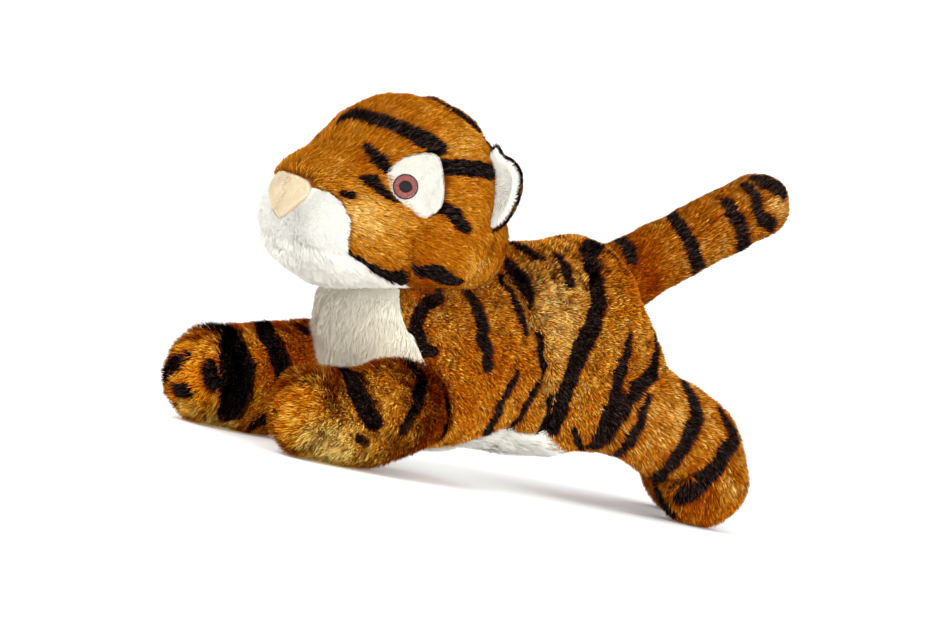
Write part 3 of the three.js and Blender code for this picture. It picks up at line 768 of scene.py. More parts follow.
def forms():
    """Every stuffed form's skin, with the curves of its stripes, built again when a size changes."""
    s = sizes()
    key = tuple(round(getattr(s, name), 6) for name in s.__annotations__)
    if FORMS.get("key") == key:
        return FORMS
    FORMS.clear()
    net = 6
    stuffed, skins = {}, {}
    for name, rows, place in (("head", HEAD_LUMPS, head_place()), ("torso", TORSO_LUMPS, torso_place())):
        stuffed[name] = lumps(rows, *place)
        skins[name] = Skin(*swell(place[0], stuffed[name], place[1][0], net))
    for name in LIMBS:
        skins[name] = Skin(*tube(*limb_spine(name)))
    # Limbs flow out of the torso instead of meeting it at a sharp line
    torso = skins["torso"]
    grow = np.zeros(len(torso.points))
    for name in LIMBS:
        grow += swollen(spine_distance(torso.points, name)[0], name, TORSO_JOIN)
        limb = skins[name]
        limb.move(swollen(outside(limb.points, stuffed["torso"]), name, JOIN[name[:5]][1]))
    torso.move(grow)
    seams = seam_curves(skins, head_place()[1])
    for name, skin in skins.items():
        panel = panel_at(name, skin.points[skin.faces].mean(1))
        edge = nearest(skin.points, border_points(skin.points, skin.faces, panel))
        change = LUMPY.get(name, 0.7) * waves(skin.points, *BROAD) + FINE_LUMPY * waves(skin.points, *FINE)
        change += PLUMP.get(name, 0)
        if name == "torso":
            bib = panel_at(name, skin.points) == 0
            change += BIB_PLUMP * bib - BACK_SAG * np.clip(skin.out[:, 2], 0, 1)
        if name.startswith("front"):
            change -= PAW_TAPER * np.clip((spine_distance(skin.points, name)[2] - 0.7) / 0.25, 0, 1)
        change -= INSET + SEAM_DEPTH * np.exp(-((edge / SEAM_HALF) ** 2))
        change -= sunk(skin.points, seams.get(name, []))
        skin.shell = skin.points
        skin.move(change)
    ink = {}
    for group, names, rows in (
        ("head", ["head"], HEAD_STRIPES),
        ("body", ["torso", "hind_leg_left"], BODY_STRIPES),
        ("near", ["front_leg_left"], NEAR_ARM_STRIPES),
        ("far", ["front_leg_right"], FAR_ARM_STRIPES),
        ("tail", ["tail"], TAIL_STRIPES),
    ):
        ink[group] = [ink_curve([skins[name] for name in names], row) for row in rows]
    FORMS.update(key=key, skins=skins, ink=ink, seams=seams, **stuffed)
    return FORMS


def panel_at(name, points):
    """Which of a form's panels covers each point, by its place in the form's list."""
    if name == "head":
        at, size = head_place()
        x, y, z = (points - at).T
        u, w = x / size[0], z / size[2]
        muzzle = within(u, w, np.array(MUZZLE))
        back = within(u, w, np.array(BACK_OF_HEAD))
        crown = (np.abs(y) < CROWN_HALF) & (z > 0)
        return np.select([muzzle & (z < CHIN_LINE), muzzle, back, crown, y < 0], [1, 0, 2, 3, 4], 5)
    if name == "torso":
        at, size = torso_place()
        u, v, w = ((points - at) / size).T
        bib = within(v, w, np.array(BIB)) & (u < BIB_END)
        belly = within(u, v, np.array(BELLY)) & (w < BELLY_TOP)
        hind = within(u, w, np.array(HIND_PANEL))
        left = v < 0
        return np.select([bib, belly, ~hind & left, ~hind, left], [0, 1, 2, 3, 4], 5)
    return np.zeros(len(points), int)


def mixed(a, b, share):
    """Colours between a and b."""
    share = np.clip(np.asarray(share, float), 0, 1)[:, None]
    return np.array(a) * (1 - share) + np.array(b) * share


def glow_at(points, out, title):
    """How much painted highlight (above zero) or painted shade (below) a piece's pile takes, partly its own
    gold and russet tone, and how far it faces the camera.
    """
    far = title == "front_leg_right"
    flip = (points[:, 1:2] > 0) & (not far)
    pixels = to_photo(np.where(flip, mirrored(points), points))[0]
    facing = np.clip(np.where(flip, mirrored(out), out) @ photo_axes()[0] * 2 + 0.5, 0, 1)
    total = np.zeros(len(points))
    for x, y, spread, share in FAR_GLOW if far else GLOW + HIND_GLOW * title.startswith("hind_panel"):
        total += share * np.exp(-((pixels[:, 0] - x) ** 2 + (pixels[:, 1] - y) ** 2) / spread**2)
    return total * facing, facing


def ink_at(points, out, group, squeeze=1.0):
    """How deep inside a dyed stripe points lie, in millimetres, less than zero outside."""
    best = np.full(len(points), -1e9)
    scale = np.array([1, squeeze, 1])
    for curve, widths in forms()["ink"][group]:
        near = (points > curve.min(0) - 14) & (points < curve.max(0) + 14)
        pick = near[:, 0] & near[:, 2] & (near[:, 1] | (squeeze < 1))
        if pick.any():
            depth = -curve_distance(points[pick] * scale, curve * scale, widths, unit(out[pick] * scale))
            best[pick] = np.maximum(best[pick], depth)
    return best


INK = {"head": "head", "tail": "tail", "front_leg_left": "near", "front_leg_right": "far"}


def dye_depth(name, points, out):
    """How deep inside its form's stripes each point lies. Hidden sides take the other side's stripes."""
    group = INK.get(name, "body")
    seen = out @ photo_axes()[0] > 0.05
    depth = np.full(len(points), -1e9)
    if name == "ear":
        return depth
    if name != "hind_leg_right":
        own = seen | (group in ("near", "far")) | (points[:, 1] < 0)
        depth[own] = ink_at(points[own], out[own], group)
    rest = ~seen
    at, way = points[rest], out[rest]
    if name.startswith(("front", "hind_leg_left")):
        middle = limb_spine(name)[0][1, 1]
        rest_depth = ink_at(mirrored(at) + (0, 2 * middle, 0), mirrored(way), group, 0.5)
    else:
        sway = 2.5 * np.stack([waves(at, 40, 31), 0 * at[:, 0], waves(at, 40, 32)], 1) * (group != "head")
        rest_depth = ink_at(mirrored(at) + sway, mirrored(way), group, 1.0 if group == "head" else 0.35)
    depth[rest] = np.maximum(depth[rest], rest_depth)
    return depth


# Painted light: how much brighter or darker a form's pile is painted where it faces the camera, and how much
# one lock differs from the next
PAINTED_LIGHT_LEVEL = {
    "head": 0.95, "torso": 0.98, "tail": 0.68, "hind_leg_left": 0.87, "hind_leg_right": 0.87,
    "front_leg_left": 1.3, "front_leg_right": 2.1,
}
VARY = {"head": 0.2, "ear": 0.25, "torso": 0.6}
# How much red, green and blue a stripe's edge loses where its dye bleeds, and the arms' lack of blue
BLEED = np.array([0.22, 0.4, 0.5])
ARM_BLUE = 0.72
# How patchy the shine of a form's pile is, how much it differs between locks, and how dark the painted shade
# in its seams is
PATCHY = {"head": 0.12, "torso": 0.12}
SHINE_SPREAD = {"head": 0.28}
SEAM_SHADE = {"torso": 0.8}
# Streaks along the pile, and speckle that only the body has
STREAK, SPECKLE = 0.24, 0.42
# How far a stripe's black reaches past its line, how far its dye bleeds, and how ragged it is, in millimetres
INK_REACH, INK_BLEED, INK_RAGGED = 0.7, 2.0, 0.2


def orange_tint(name, points, out, chance, title, comb=None):
    """Colour of each lock of the striped orange pile, with painted highlights and painted shade worked in."""
    c = colours()
    on_head = name == "head"
    gleam, facing = glow_at(points, out, title)
    gleam = gleam + PATCHY.get(name, 0.2) * (waves(points, 17, 11) + waves(points, 6, 12))
    gleam = gleam + chance.normal(0, SHINE_SPREAD.get(name, 0.42), len(points))
    # Gold and honey stand for painted highlight and russet for painted shade, besides the pile's own patchy
    # tone
    tint = mixed(c.orange, c.honey, gleam * 2)
    shiny, dark = gleam > 0.5, gleam < 0
    tint[shiny] = mixed(c.honey, c.gold, gleam[shiny] * 2 - 1)
    tint[dark] = mixed(c.orange, c.russet, -gleam[dark])
    # Painted highlight: the brightest locks are lightened past gold
    tint *= 1 + 0.5 * np.clip(gleam - 1, 0, 1)[:, None]
    # Painted light: brighter or darker on the side that faces the camera
    tint *= 1 + (PAINTED_LIGHT_LEVEL.get(name, 1.0) - 1) * facing[:, None]
    if name.startswith("front"):
        tint[:, 2] *= ARM_BLUE
    if comb is not None:
        speckle = 0 if on_head else SPECKLE * waves(points, 2.1, 15)
        tint *= np.exp(STREAK * streaks(points, comb) + speckle)[:, None]
    tint *= np.exp(chance.normal(0, VARY.get(name, 0.4), len(points)))[:, None]
    # Painted shade in the seams and creases
    for curve, _, half in forms()["seams"].get(name, []):
        if half < 4:
            near = np.maximum(curve_distance(points, curve), 0) / (0.7 * half)
            tint *= 1 - SEAM_SHADE.get(name, 0.6) * np.exp(-(near**2))[:, None]
    depth = dye_depth(name, points, out)
    tint *= 1 - np.exp(-((np.minimum(depth, 0) / INK_BLEED) ** 2))[:, None] * BLEED
    ragged = chance.normal(0, INK_RAGGED, len(points)) + INK_RAGGED * waves(points, 5, 13)
    black = depth + INK_REACH + ragged > 0
    tint[black] = black_tint(black.sum(), chance, 5 if on_head else 4, 0.7)
    return tint


def black_tint(count, chance, rare, shine):
    """Colours of dyed locks, a few of which glint."""
    c = colours()
    return mixed(c.black, c.glint, chance.random(count) ** rare * shine)


def streaks(points, comb):
    """Fine light and dark streaks that run with the pile."""
    across = points - comb * (0.8 * dots(points, comb))[:, None]
    return waves(across, 2.4, 14)


def pale_tint(colour, points, chance, spread=0.1):
    """Colour of each lock of the undyed pile, a little darker here and there."""
    shade = 1 - spread * (0.5 + 0.5 * waves(points, 7, 21)) - spread * chance.random(len(points))
    return np.array(colour)[None] * shade[:, None]


# Pile


def laid(comb, out):
    """A comb direction laid along the skin."""
    return unit(comb - out * dots(comb, out)[:, None] + 1e-6)


def locks(roots, out, comb, length, lean, width, dye_and_light, chance, ruffle, root_shade, even=0.0, shade_warmth=0.0):
    """Locks of fibres as bent blades: points, triangles, quads, colours and shading directions."""
    n = len(roots)
    wander = np.stack([waves(roots, 9, 51), waves(roots, 9, 52), waves(roots, 9, 53)], 1)
    comb = laid(comb + ruffle * wander + chance.normal(0, ruffle * 0.55, (n, 3)), out)
    lean = np.radians(np.clip(lean + chance.normal(0, 6, n) + 5 * waves(roots, 8, 54), 5, 80))
    length = length * chance.uniform(0.72, 1.12, n)
    first, last = (
        out * np.cos(lean * bend)[:, None] + comb * np.sin(lean * bend)[:, None] for bend in (0.65, 1.18)
    )
    middle = roots + first * (length * 0.5)[:, None]
    tip = middle + last * (length * 0.5)[:, None]
    tint = dye_and_light(middle * 0.35 + tip * 0.65)
    side = unit(np.cross(comb, out))
    roll = chance.normal(0, 0.3, n)[:, None]
    side = unit(side * np.cos(roll) + out * np.sin(roll))
    half = side * (width * np.exp(chance.normal(0, 0.35, n)) / 2)[:, None]
    waist = half * 0.85
    points = np.stack([roots - half, roots + half, middle - waist, middle + waist, tip], 1)
    points[..., 2] = np.maximum(points[..., 2], 0.08 + 0.2 * chance.random(n)[:, None])
    face = np.cross(last, side)
    face *= np.sign(dots(face, out))[:, None]
    stray = chance.normal(0, 0.12 * (1 - 0.5 * even), (n, 3))
    shade = unit(out * (0.7 + even) + face * (0.5 - 0.3 * even) + stray)
    shading = np.stack([out, out, shade, shade, shade], 1)
    # Painted shade darkens each lock towards its root, where the locks shade each other, and painted
    # highlight lightens its tip; the warmth reddens that painted shade
    waist_shade, tip_shade = 0.5 + root_shade * 0.5, 1.35 - root_shade * 0.35
    ramp = np.array([root_shade, root_shade, waist_shade, waist_shade, tip_shade])[:, None]
    deep = np.clip((1.1 - ramp) * 1.1, 0, 1) * np.array([0.0, 0.45, 0.7]) * shade_warmth
    colour = np.clip(tint[:, None] * (ramp * (1 - deep))[None], 0, 1)
    base = (np.arange(n) * 5)[:, None]
    flat = [rows.reshape(-1, 3) for rows in (points, colour, shading)]
    return flat[0], base + np.array([[2, 3, 4]]), base + np.array([[0, 1, 3, 2]]), *flat[1:]


def scattered(skin, per_square, chance):
    """Roots spread evenly over a skin, the outward direction at each, and its place on the skin's shell."""
    corner = skin.points[skin.faces]
    area = np.linalg.norm(np.cross(corner[:, 1] - corner[:, 0], corner[:, 2] - corner[:, 0]), axis=1) / 2
    want = area * per_square
    count = np.floor(want + chance.random(len(want))).astype(int)
    face = np.repeat(np.arange(len(count)), count)
    a, b = chance.random((2, len(face)))
    flip = a + b > 1
    a[flip], b[flip] = 1 - a[flip], 1 - b[flip]
    share = np.stack([1 - a - b, a, b], 1)
    spots = np.einsum("ij,ijk->ik", share, skin.points[skin.faces[face]])
    out = unit(np.einsum("ij,ijk->ik", share, skin.out[skin.faces[face]]))
    shell = np.einsum("ij,ijk->ik", share, skin.shell[skin.faces[face]])
    return spots, out, shell


def backing(skin, chosen, tuck=2.0):
    """A panel's cloth: its faces, with the edges turned in at the seams."""
    faces = skin.faces[chosen]
    used, inverse = np.unique(faces, return_inverse=True)
    faces = inverse.reshape(-1, 3)
    points, out = skin.points[used], skin.out[used]
    edges = edges_of(faces)
    _, first, count = np.unique(np.sort(edges, 1), axis=0, return_index=True, return_counts=True)
    rim = edges[first[count == 1]]
    ends = np.unique(rim)
    if not len(ends):
        return points, out, faces, NO_QUADS
    spot = np.full(len(points), -1)
    spot[ends] = len(points) + np.arange(len(ends))
    points = np.vstack([points, points[ends] - out[ends] * tuck])
    out = np.vstack([out, out[ends]])
    quads = np.stack([rim[:, 1], rim[:, 0], spot[rim[:, 0]], spot[rim[:, 1]]], 1)
    return points, out, faces, quads


def shown(name, data):
    """A new object in the scene."""
    thing = bpy.data.objects.new(name, data)
    bpy.context.scene.collection.objects.link(thing)
    return thing


def piece(name, parts, materials):
    """One object from parts: points, triangles, quads, colours, shading directions and material number."""
    name = f"{name}_sewn"
    old = bpy.data.objects.get(name)
    if old is not None:
        bpy.data.objects.remove(old, do_unlink=True)
    start, loops, corners, slots = 0, [], [], []
    for points, tris, quads, _, _, slot in parts:
        for rows in (tris, quads):
            loops.append((rows + start).ravel())
            corners.append(np.full(len(rows), rows.shape[1]))
            slots.append(np.full(len(rows), slot))
        start += len(points)
    points, tint, shading = (np.vstack([part[k] for part in parts]) for k in (0, 3, 4))
    loops, corners, slots = (np.concatenate(rows) for rows in (loops, corners, slots))
    mesh = bpy.data.meshes.new(name)
    mesh.vertices.add(len(points))
    mesh.vertices.foreach_set("co", (points / 1000).astype(np.float32).ravel())
    mesh.loops.add(len(loops))
    mesh.loops.foreach_set("vertex_index", loops.astype(np.int32))
    mesh.polygons.add(len(corners))
    mesh.polygons.foreach_set("loop_start", (np.cumsum(corners) - corners).astype(np.int32))
    mesh.polygons.foreach_set("material_index", slots.astype(np.int32))
    mesh.update(calc_edges=True)
    mesh.polygons.foreach_set("use_smooth", np.ones(len(corners), bool))
    # Each point's colour: its dye with the painted highlights and painted shade worked in
    dyed = mesh.color_attributes.new("dye_and_light", "FLOAT_COLOR", "POINT")
    rgba = np.hstack([tint, np.ones((len(tint), 1))])
    dyed.data.foreach_set("color", rgba.astype(np.float32).ravel())
    chart = mesh.uv_layers.new(name="OFBake")
    low, high = points.min(0), points.max(0)
    side = points[:, 1] < (low[1] + high[1]) / 2
    flat = (points[:, [0, 2]] - low[[0, 2]]) / (high - low)[[0, 2]] * np.array([0.48, 0.96]) + 0.01
    flat[side, 0] += 0.5
    chart.data.foreach_set("uv", flat[loops].astype(np.float32).ravel())
    for material in materials:
        mesh.materials.append(material)
    mesh.normals_split_custom_set_from_vertices(unit(shading))
    return shown(name, mesh)


# Materials


def node_for(tree, kind, *, inputs=None, **settings):
    """Adds a shader node and sets its sockets."""
    node = tree.nodes.new(kind)
    for key, value in settings.items():
        setattr(node, key, value)
    for key, value in (inputs or {}).items():
        if isinstance(value, bpy.types.NodeSocket):
            tree.links.new(value, node.inputs[key])
        else:
            node.inputs[key].default_value = value
    return node


def blank(name):
    """A fresh node material and its surface shader."""
    made = bpy.data.materials.get(name) or bpy.data.materials.new(name)
    made.use_nodes = True
    made.node_tree.nodes.clear()
    shader = node_for(made.node_tree, "ShaderNodeBsdfPrincipled")
    out = node_for(made.node_tree, "ShaderNodeOutputMaterial")
    made.node_tree.links.new(shader.outputs["BSDF"], out.inputs["Surface"])
    return made, made.node_tree, shader


def dyed_material(name, roughness, sheen, specular, fleck, fleck_size):
    """A dyed cloth or thread: matt, each lock its own colour, which on the pile holds painted highlights and
    painted shade too, flecked at a width in millimetres.

    Single fibres are too fine to show, so the fleck is as coarse as a few of them together.
    """
    made, tree, shader = blank(name)
    dye_and_light = node_for(tree, "ShaderNodeAttribute", attribute_name="dye_and_light")
    place = node_for(tree, "ShaderNodeTexCoord")
    noise = node_for(
        tree, "ShaderNodeTexNoise",
        inputs={"Vector": place.outputs["Object"], "Scale": 1000 / fleck_size, "Detail": 3.0},
    )
    level = node_for(
        tree, "ShaderNodeMapRange",
        inputs={"Value": noise.outputs["Fac"], "From Min": 0.3, "From Max": 0.7,
                "To Min": 1 - fleck, "To Max": 1 + fleck * 0.4},
    )
    shade = node_for(
        tree, "ShaderNodeVectorMath", operation="SCALE",
        inputs={0: dye_and_light.outputs["Color"], "Scale": level.outputs["Result"]},
    )
    tree.links.new(shade.outputs["Vector"], shader.inputs["Base Color"])
    for socket, value in (
        ("Roughness", roughness), ("IOR", 1.5), ("Specular IOR Level", specular), ("Sheen Weight", sheen),
        ("Sheen Roughness", 0.45),
    ):
        shader.inputs[socket].default_value = value
    return made


def plush_pile():
    """Long brushed acrylic pile of the striped panels: soft and dull, with light and dark locks."""
    return dyed_material("Striped plush pile", 0.6, 0.0, 0.0, 0.2, 1.2)


def pale_pile():
    """Undyed brushed acrylic pile of the chest, belly and muzzle: even, with a faint bloom at its edges."""
    return dyed_material("Undyed plush pile", 0.75, 0.05, 0.05, 0.04, 1.5)


def backing_cloth():
    """Knitted cloth that the pile grows from, its colour darkened as painted shade between the fibres."""
    return dyed_material("Knitted backing cloth", 0.95, 0.0, 0.05, 0.2, 0.8)


def felt_patch():
    """Short white felt of the eye patches and the brushed nose: matt, with a fine nap."""
    return dyed_material("Brushed felt", 0.9, 0.15, 0.12, 0.06, 0.6)


def stitch_thread():
    """Embroidery thread: rayon with a soft shine along each stitch."""
    return dyed_material("Embroidery thread", 0.5, 0.0, 0.2, 0.2, 0.5)


# Panels with their pile

ORANGE, PALE = "orange", "pale"
FACE = (ORANGE, "face_pile", 66, 0.22)
CHEEK = (ORANGE, "face_pile", 65, 0.22)
BODY = (ORANGE, "body_pile", 26, 0.6)
LEG = (ORANGE, "limb_pile", 46, 0.34)
TAIL = (ORANGE, "limb_pile", 64, 0.24)
# Panels in the order that panel_at numbers them, each with its slot, and its pile as a kind, the length and
# lean of the locks, and how far neighbours ruffle
HEAD_PANELS = {
    "muzzle": ("white_plush", (PALE, "muzzle_pile", 70, 0.1)),
    "chin": ("cream_plush", (PALE, "face_pile", 66, 0.26)),
    "back_of_head": ("gold_plush", FACE),
    "crown_gusset": ("gold_plush", FACE),
    "cheek_panel_left": ("orange_plush", CHEEK),
    "cheek_panel_right": ("orange_plush", CHEEK),
}
TORSO_PANELS = {
    "chest_bib": ("cream_plush", (PALE, "chest_pile", 64, 0.32)),
    "belly_panel": ("white_plush", (PALE, "chest_pile", 58, 0.35)),
    "shoulder_panel_left": ("orange_plush", BODY),
    "shoulder_panel_right": ("orange_plush", BODY),
    "hind_panel_left": ("gold_plush", BODY),
    "hind_panel_right": ("gold_plush", BODY),
}
# Painted light: how much brighter or darker each pale panel is painted beside its colour, the belly lightened
# where it lies in shade underneath
PALE_PAINTED_LIGHT_LEVEL = {"muzzle": 0.84, "chin": 0.97, "belly_panel": 1.14, "chest_bib": 0.95}
# Painted shade: how bright the orange pile is painted at its roots, between the locks, beside its middle
ROOT_SHADE = {"head": 0.3, "torso": 0.1, "tail": 0.22}
# More locks than the sidebar's number on the torso, and fewer on the far leg, which keeps its mesh whole
CROWDED = {"torso": 1.2, "hind_leg_right": 0.9}


def comb_at(name, panel, points):
    """Which way the pile of a form's panel is combed."""
    if name == "head":
        at, size = head_place()
        away = unit(points - at - np.array([-0.55, 0, -0.12]) * size)
        if panel == 0:
            return away
        if panel == 1:
            return away * (1, 1, 0) + (0.2, 0, -0.9)
        if panel == 2:
            return np.tile((-0.45, 0.0, -1.0), (len(points), 1))
        behind = np.clip((points[:, 0] - at[0]) / size[0] * 3, 0, 1)[:, None]
        return away * (1 - 0.45 * behind) + np.array([0, 0, -0.75]) * behind * (panel != 3)
    if name == "torso":
        if panel == 0:
            return np.tile((0.1, 0.0, -1.0), (len(points), 1))
        if panel == 1:
            return np.stack([np.full(len(points), 0.6), np.sign(points[:, 1]) * 0.7, 0 * points[:, 2]], 1)
        return np.tile((0.7, 0.0, -0.7), (len(points), 1))
    return spine_distance(points, name)[1] + np.array([0.0, 0.0, -0.25]) * (name != "tail")


# How many millimetres deep a root is left out: head in torso, limb in torso, limb in head, torso in limb
NECK_DEEP, TORSO_DEEP, HEAD_DEEP, SOCKET_DEEP = 14, 10, 8, 9
# The pile's share of its length where head and torso touch, and how far off it is whole
NECK_LEAST, NECK_CLEAR = 0.35, 9
# The pile of a paw: how much longer it gets, and how many degrees it stands up
PAW_FLUFF, PAW_STAND = 0.45, 14


def buried(name, points):
    """Roots that lie so deep in another form that no pose shows them."""
    kept = forms()
    deep = np.zeros(len(points), bool)
    if name == "head":
        patches = [(nose_patch(), NOSE_PATCH)] + [(eye_patch(side), EYE_PATCH) for side, _ in SIDES]
        for patch, outline in patches:
            deep |= patch.covers(points, smoothed(outline) * 0.99)
    if name != "torso":
        deep |= outside(points, kept["torso"]) < -(NECK_DEEP if name == "head" else TORSO_DEEP)
    if name != "head":
        deep |= outside(points, kept["head"]) < -(NECK_DEEP if name == "torso" else HEAD_DEEP)
    if name == "torso":
        for limb in LIMBS:
            deep |= spine_distance(points, limb)[0] < -SOCKET_DEEP
    return deep


def sewn(form, panel, title, look, seed):
    """A panel's cloth and pile as one object."""
    skin = forms()["skins"][form]
    kind, length, lean, ruffle = look
    striped = kind == ORANGE
    chance = np.random.default_rng(SEED + seed)
    c, p = colours(), pile()
    density = thinned(p.per_square) * (CROWDED.get(form, 1) if striped else 1.25)
    width = mm(p.strand) * 1.0 * (1 if striped else 0.85)
    roots, out, shell = scattered(skin, density, chance)
    keep = (panel_at(form, shell) == panel) & ~buried(form, roots)
    roots, out = roots[keep], out[keep]
    chosen = panel_at(form, skin.shell[skin.faces].mean(1)) == panel
    cloth, cloth_out, tris, quads = backing(skin, chosen)
    comb = comb_at(form, panel, roots)
    if striped:

        def dye_and_light(spots):
            return orange_tint(form, spots, out, chance, title, laid(comb, out))

        # The backing takes the pile's colour darkened and reddened as painted shade beneath the locks
        shaded_backing = orange_tint(form, cloth, cloth_out, chance, title) * 0.4 * (1, 0.7, 0.5)
        shade, even, shade_warmth = ROOT_SHADE.get(form, 0.16), 0.0, 0.35 if form == "head" else 1.0
    else:
        colour = np.array(c.cream if title == "chest_bib" else c.white) * PALE_PAINTED_LIGHT_LEVEL[title]

        def dye_and_light(spots):
            return pale_tint(colour, spots, chance, 0.03 if title == "muzzle" else 0.06)

        # The backing takes the pale colour a little darkened as painted shade beneath the locks
        shaded_backing = pale_tint(colour, cloth, chance, 0.05) * 0.95
        shade, even, shade_warmth = 0.95, 1.0 if title == "muzzle" else 0.5, 0.0
    length = mm(getattr(p, length))
    if form in ("head", "torso"):
        near = outside(roots, forms()["torso" if form == "head" else "head"])
        length = length * np.clip(near / NECK_CLEAR, NECK_LEAST, 1)
    if form.startswith("front"):
        end = np.clip((spine_distance(roots, form)[2] - 0.72) / 0.25, 0, 1)
        length = length * (1 + PAW_FLUFF * end)
        lean = lean - PAW_STAND * end
    fur = locks(roots, out, comb, length, lean, width, dye_and_light, chance, ruffle, shade, even, shade_warmth)
    fabrics = [backing_cloth(), plush_pile() if striped else pale_pile()]
    return piece(title, [(cloth, tris, quads, shaded_backing, cloth_out, 0), (*fur, 1)], fabrics)


def finish_soft(thing, body, nodes):
    """Hides a stuffed piece's solids so that it stands for them, and puts it on its body when a body is
    named.
    """
    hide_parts(*nodes)
    if isinstance(body, str):
        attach(thing, body)
    else:
        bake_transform(thing)


# Face


def patch_net(outline, rings=14):
    """A flat net inside a smooth outline: places, faces and each place's share from middle to rim."""
    rim = smoothed(outline, 72)
    middle = rim.mean(0)
    shares = np.sin(np.linspace(0, math.pi / 2, rings + 1))
    places = np.vstack([middle[None]] + [middle + (rim - middle) * s for s in shares[1:]])
    count = len(rim)
    j = np.arange(count)
    faces = [np.stack([np.zeros(count, int), 1 + j, 1 + (j + 1) % count], 1)]
    for k in range(rings - 1):
        a = 1 + k * count + j
        b = 1 + k * count + (j + 1) % count
        faces += [np.stack([a, a + count, b + count], 1), np.stack([a, b + count, b], 1)]
    share = np.concatenate([[0.0], np.repeat(shares[1:], count)])
    return places, np.vstack(faces), share


def shot(starts, way, form, far=70.0):
    """Where lines from outside first meet a form."""
    near, reach = np.zeros(len(starts)), np.full(len(starts), far)
    for step in np.linspace(0, far, 90):
        out = outside(starts + way * step, form) > 0
        near = np.where(out & (near >= step - far / 89 - 1e-6), step, near)
    reach = near + far / 88
    for _ in range(14):
        half = (near + reach) / 2
        out = outside(starts + way * half[:, None], form) > 0
        near, reach = np.where(out, half, near), np.where(out, reach, half)
    return starts + way * near[:, None]


class Patch:
    """A cut patch laid on the head: where its own places fall on the skin."""

    def __init__(self, middle, along, across, up, size):
        self.middle, self.along, self.across, self.up, self.size = middle, along, across, up, size

    def covers(self, points, outline):
        """Whether the patch, cut to an outline, lies over points of the skin."""
        away = points - self.middle
        flat = np.stack([away @ self.across / self.size[0], away @ self.up / self.size[1]])
        return within(*flat, outline) & (away @ self.along > 0)

    def lay(self, places, proud):
        """Places on the patch as points in space, that far proud of the skin."""
        start = (
            self.middle + self.along * 80
            + self.across * (places[:, :1] * self.size[0]) + self.up * (places[:, 1:2] * self.size[1])
        )
        form = forms()["head"]
        hit = shot(start, -self.along, form)
        steps = 2.5 * np.eye(3)
        out = unit(np.stack([outside(hit + step, form) - outside(hit - step, form) for step in steps], 1))
        return hit + out * np.asarray(proud, float).reshape(-1, 1), out


def eye_patch(side):
    """The eye patch's own frame; side is -1 on the left."""
    turn = math.radians(EYE_TURN)
    along = np.array([-math.cos(turn), side * math.sin(turn), 0.0])
    across = np.array([math.sin(turn), side * math.cos(turn), 0.0])
    middle = head_place()[0] + across * EYE_SHIFT + (0, 0, EYE_RISE)
    return Patch(middle, along, across, np.array([0, 0, 1.0]), EYE_SIZE)


def nose_patch():
    """The nose patch's own frame."""
    along, across, up = np.array([-1.0, 0, 0]), np.array([0, 1.0, 0]), np.array([0, 0, 1.0])
    return Patch(head_place()[0] - up * NOSE_DROP, along, across, up, NOSE_SIZE)


def felt(title, patch, outline, colour, nap, proud, seed):
    """A cut patch with its edge rolled down into the pile, and its short nap."""
    chance = np.random.default_rng(SEED + seed)
    places, faces, share = patch_net(outline)
    crown = proud - 0.5 * share**4 - 2.5 * np.clip((share - 0.95) / 0.05, 0, 1) ** 1.5
    points, out = patch.lay(places, crown)
    for _ in range(12):
        total, count = np.zeros_like(points), np.zeros(len(points))
        for a, b in ((0, 1), (1, 0), (1, 2), (2, 1), (2, 0), (0, 2)):
            np.add.at(total, faces[:, a], points[faces[:, b]])
            np.add.at(count, faces[:, a], 1)
        points = np.where((share < 0.93)[:, None], total / count[:, None], points)
    if dots(normals_of(points, faces), out).sum() < 0:
        faces = faces[:, ::-1]
    skin = Skin(points, faces)
    skin.move(0.12 * waves(points, 5, seed))
    tint = pale_tint(colour, skin.points, chance, 0.03)
    roots, spread, _ = scattered(skin, thinned(FELT_LOCKS), chance)
    comb = patch.across * 0.3 - patch.up + 0 * roots
    fluff = pale_tint(colour, roots, chance, 0.05)
    fur = locks(roots, spread, comb, nap, 48, 0.26, lambda spots: fluff, chance, 0.8, 0.9)
    return piece(title, [(skin.points, skin.faces, NO_QUADS, tint, skin.out, 0), (*fur, 0)], [felt_patch()])


def stitches(lines, out, radius, tint, chance, around=6):
    """Laid stitches: a round thread along each line of points."""
    count, steps = lines.shape[:2]
    slope = unit(np.gradient(lines, axis=1))
    side = unit(np.cross(slope, out))
    rise = np.cross(side, slope)
    turn = even_turns(around)
    grow = np.ones(steps)
    grow[[0, -1]] = 0.35
    ring = side[:, :, None] * np.cos(turn)[:, None] + rise[:, :, None] * np.sin(turn)[:, None]
    ring *= radius * grow[None, :, None, None]
    points = (lines[:, :, None] + ring).reshape(-1, 3)
    shading = unit(ring + 1e-9).reshape(-1, 3)
    k, s, j = np.meshgrid(np.arange(count), np.arange(steps - 1), np.arange(around), indexing="ij")
    a = ((k * steps + s) * around + j).ravel()
    b = ((k * steps + s) * around + (j + 1) % around).ravel()
    quads = np.stack([a, a + around, b + around, b], 1)
    dye_and_light = np.repeat(np.clip(tint * chance.uniform(0.8, 1.15, (count, 1)), 0, 1), steps * around, 0)
    return points, NO_TRIS, quads, dye_and_light, shading, 0


def satin(patch, starts, ends, height, radius, tint, chance, steps=6):
    """Satin stitches from starts to ends on a patch, arched over their padding."""
    run = np.linspace(0, 1, steps)
    flat = starts[:, None] * (1 - run)[None, :, None] + ends[:, None] * run[None, :, None]
    lift = np.tile(height * (0.35 + 0.65 * np.sin(np.pi * run) ** 0.6), len(starts))
    points, out = (rows.reshape(len(starts), steps, 3) for rows in patch.lay(flat.reshape(-1, 2), lift))
    return stitches(points, out, radius, tint, chance)


def spokes(turn):
    """Unit directions at angles."""
    return np.stack([np.cos(turn), np.sin(turn)], 1)


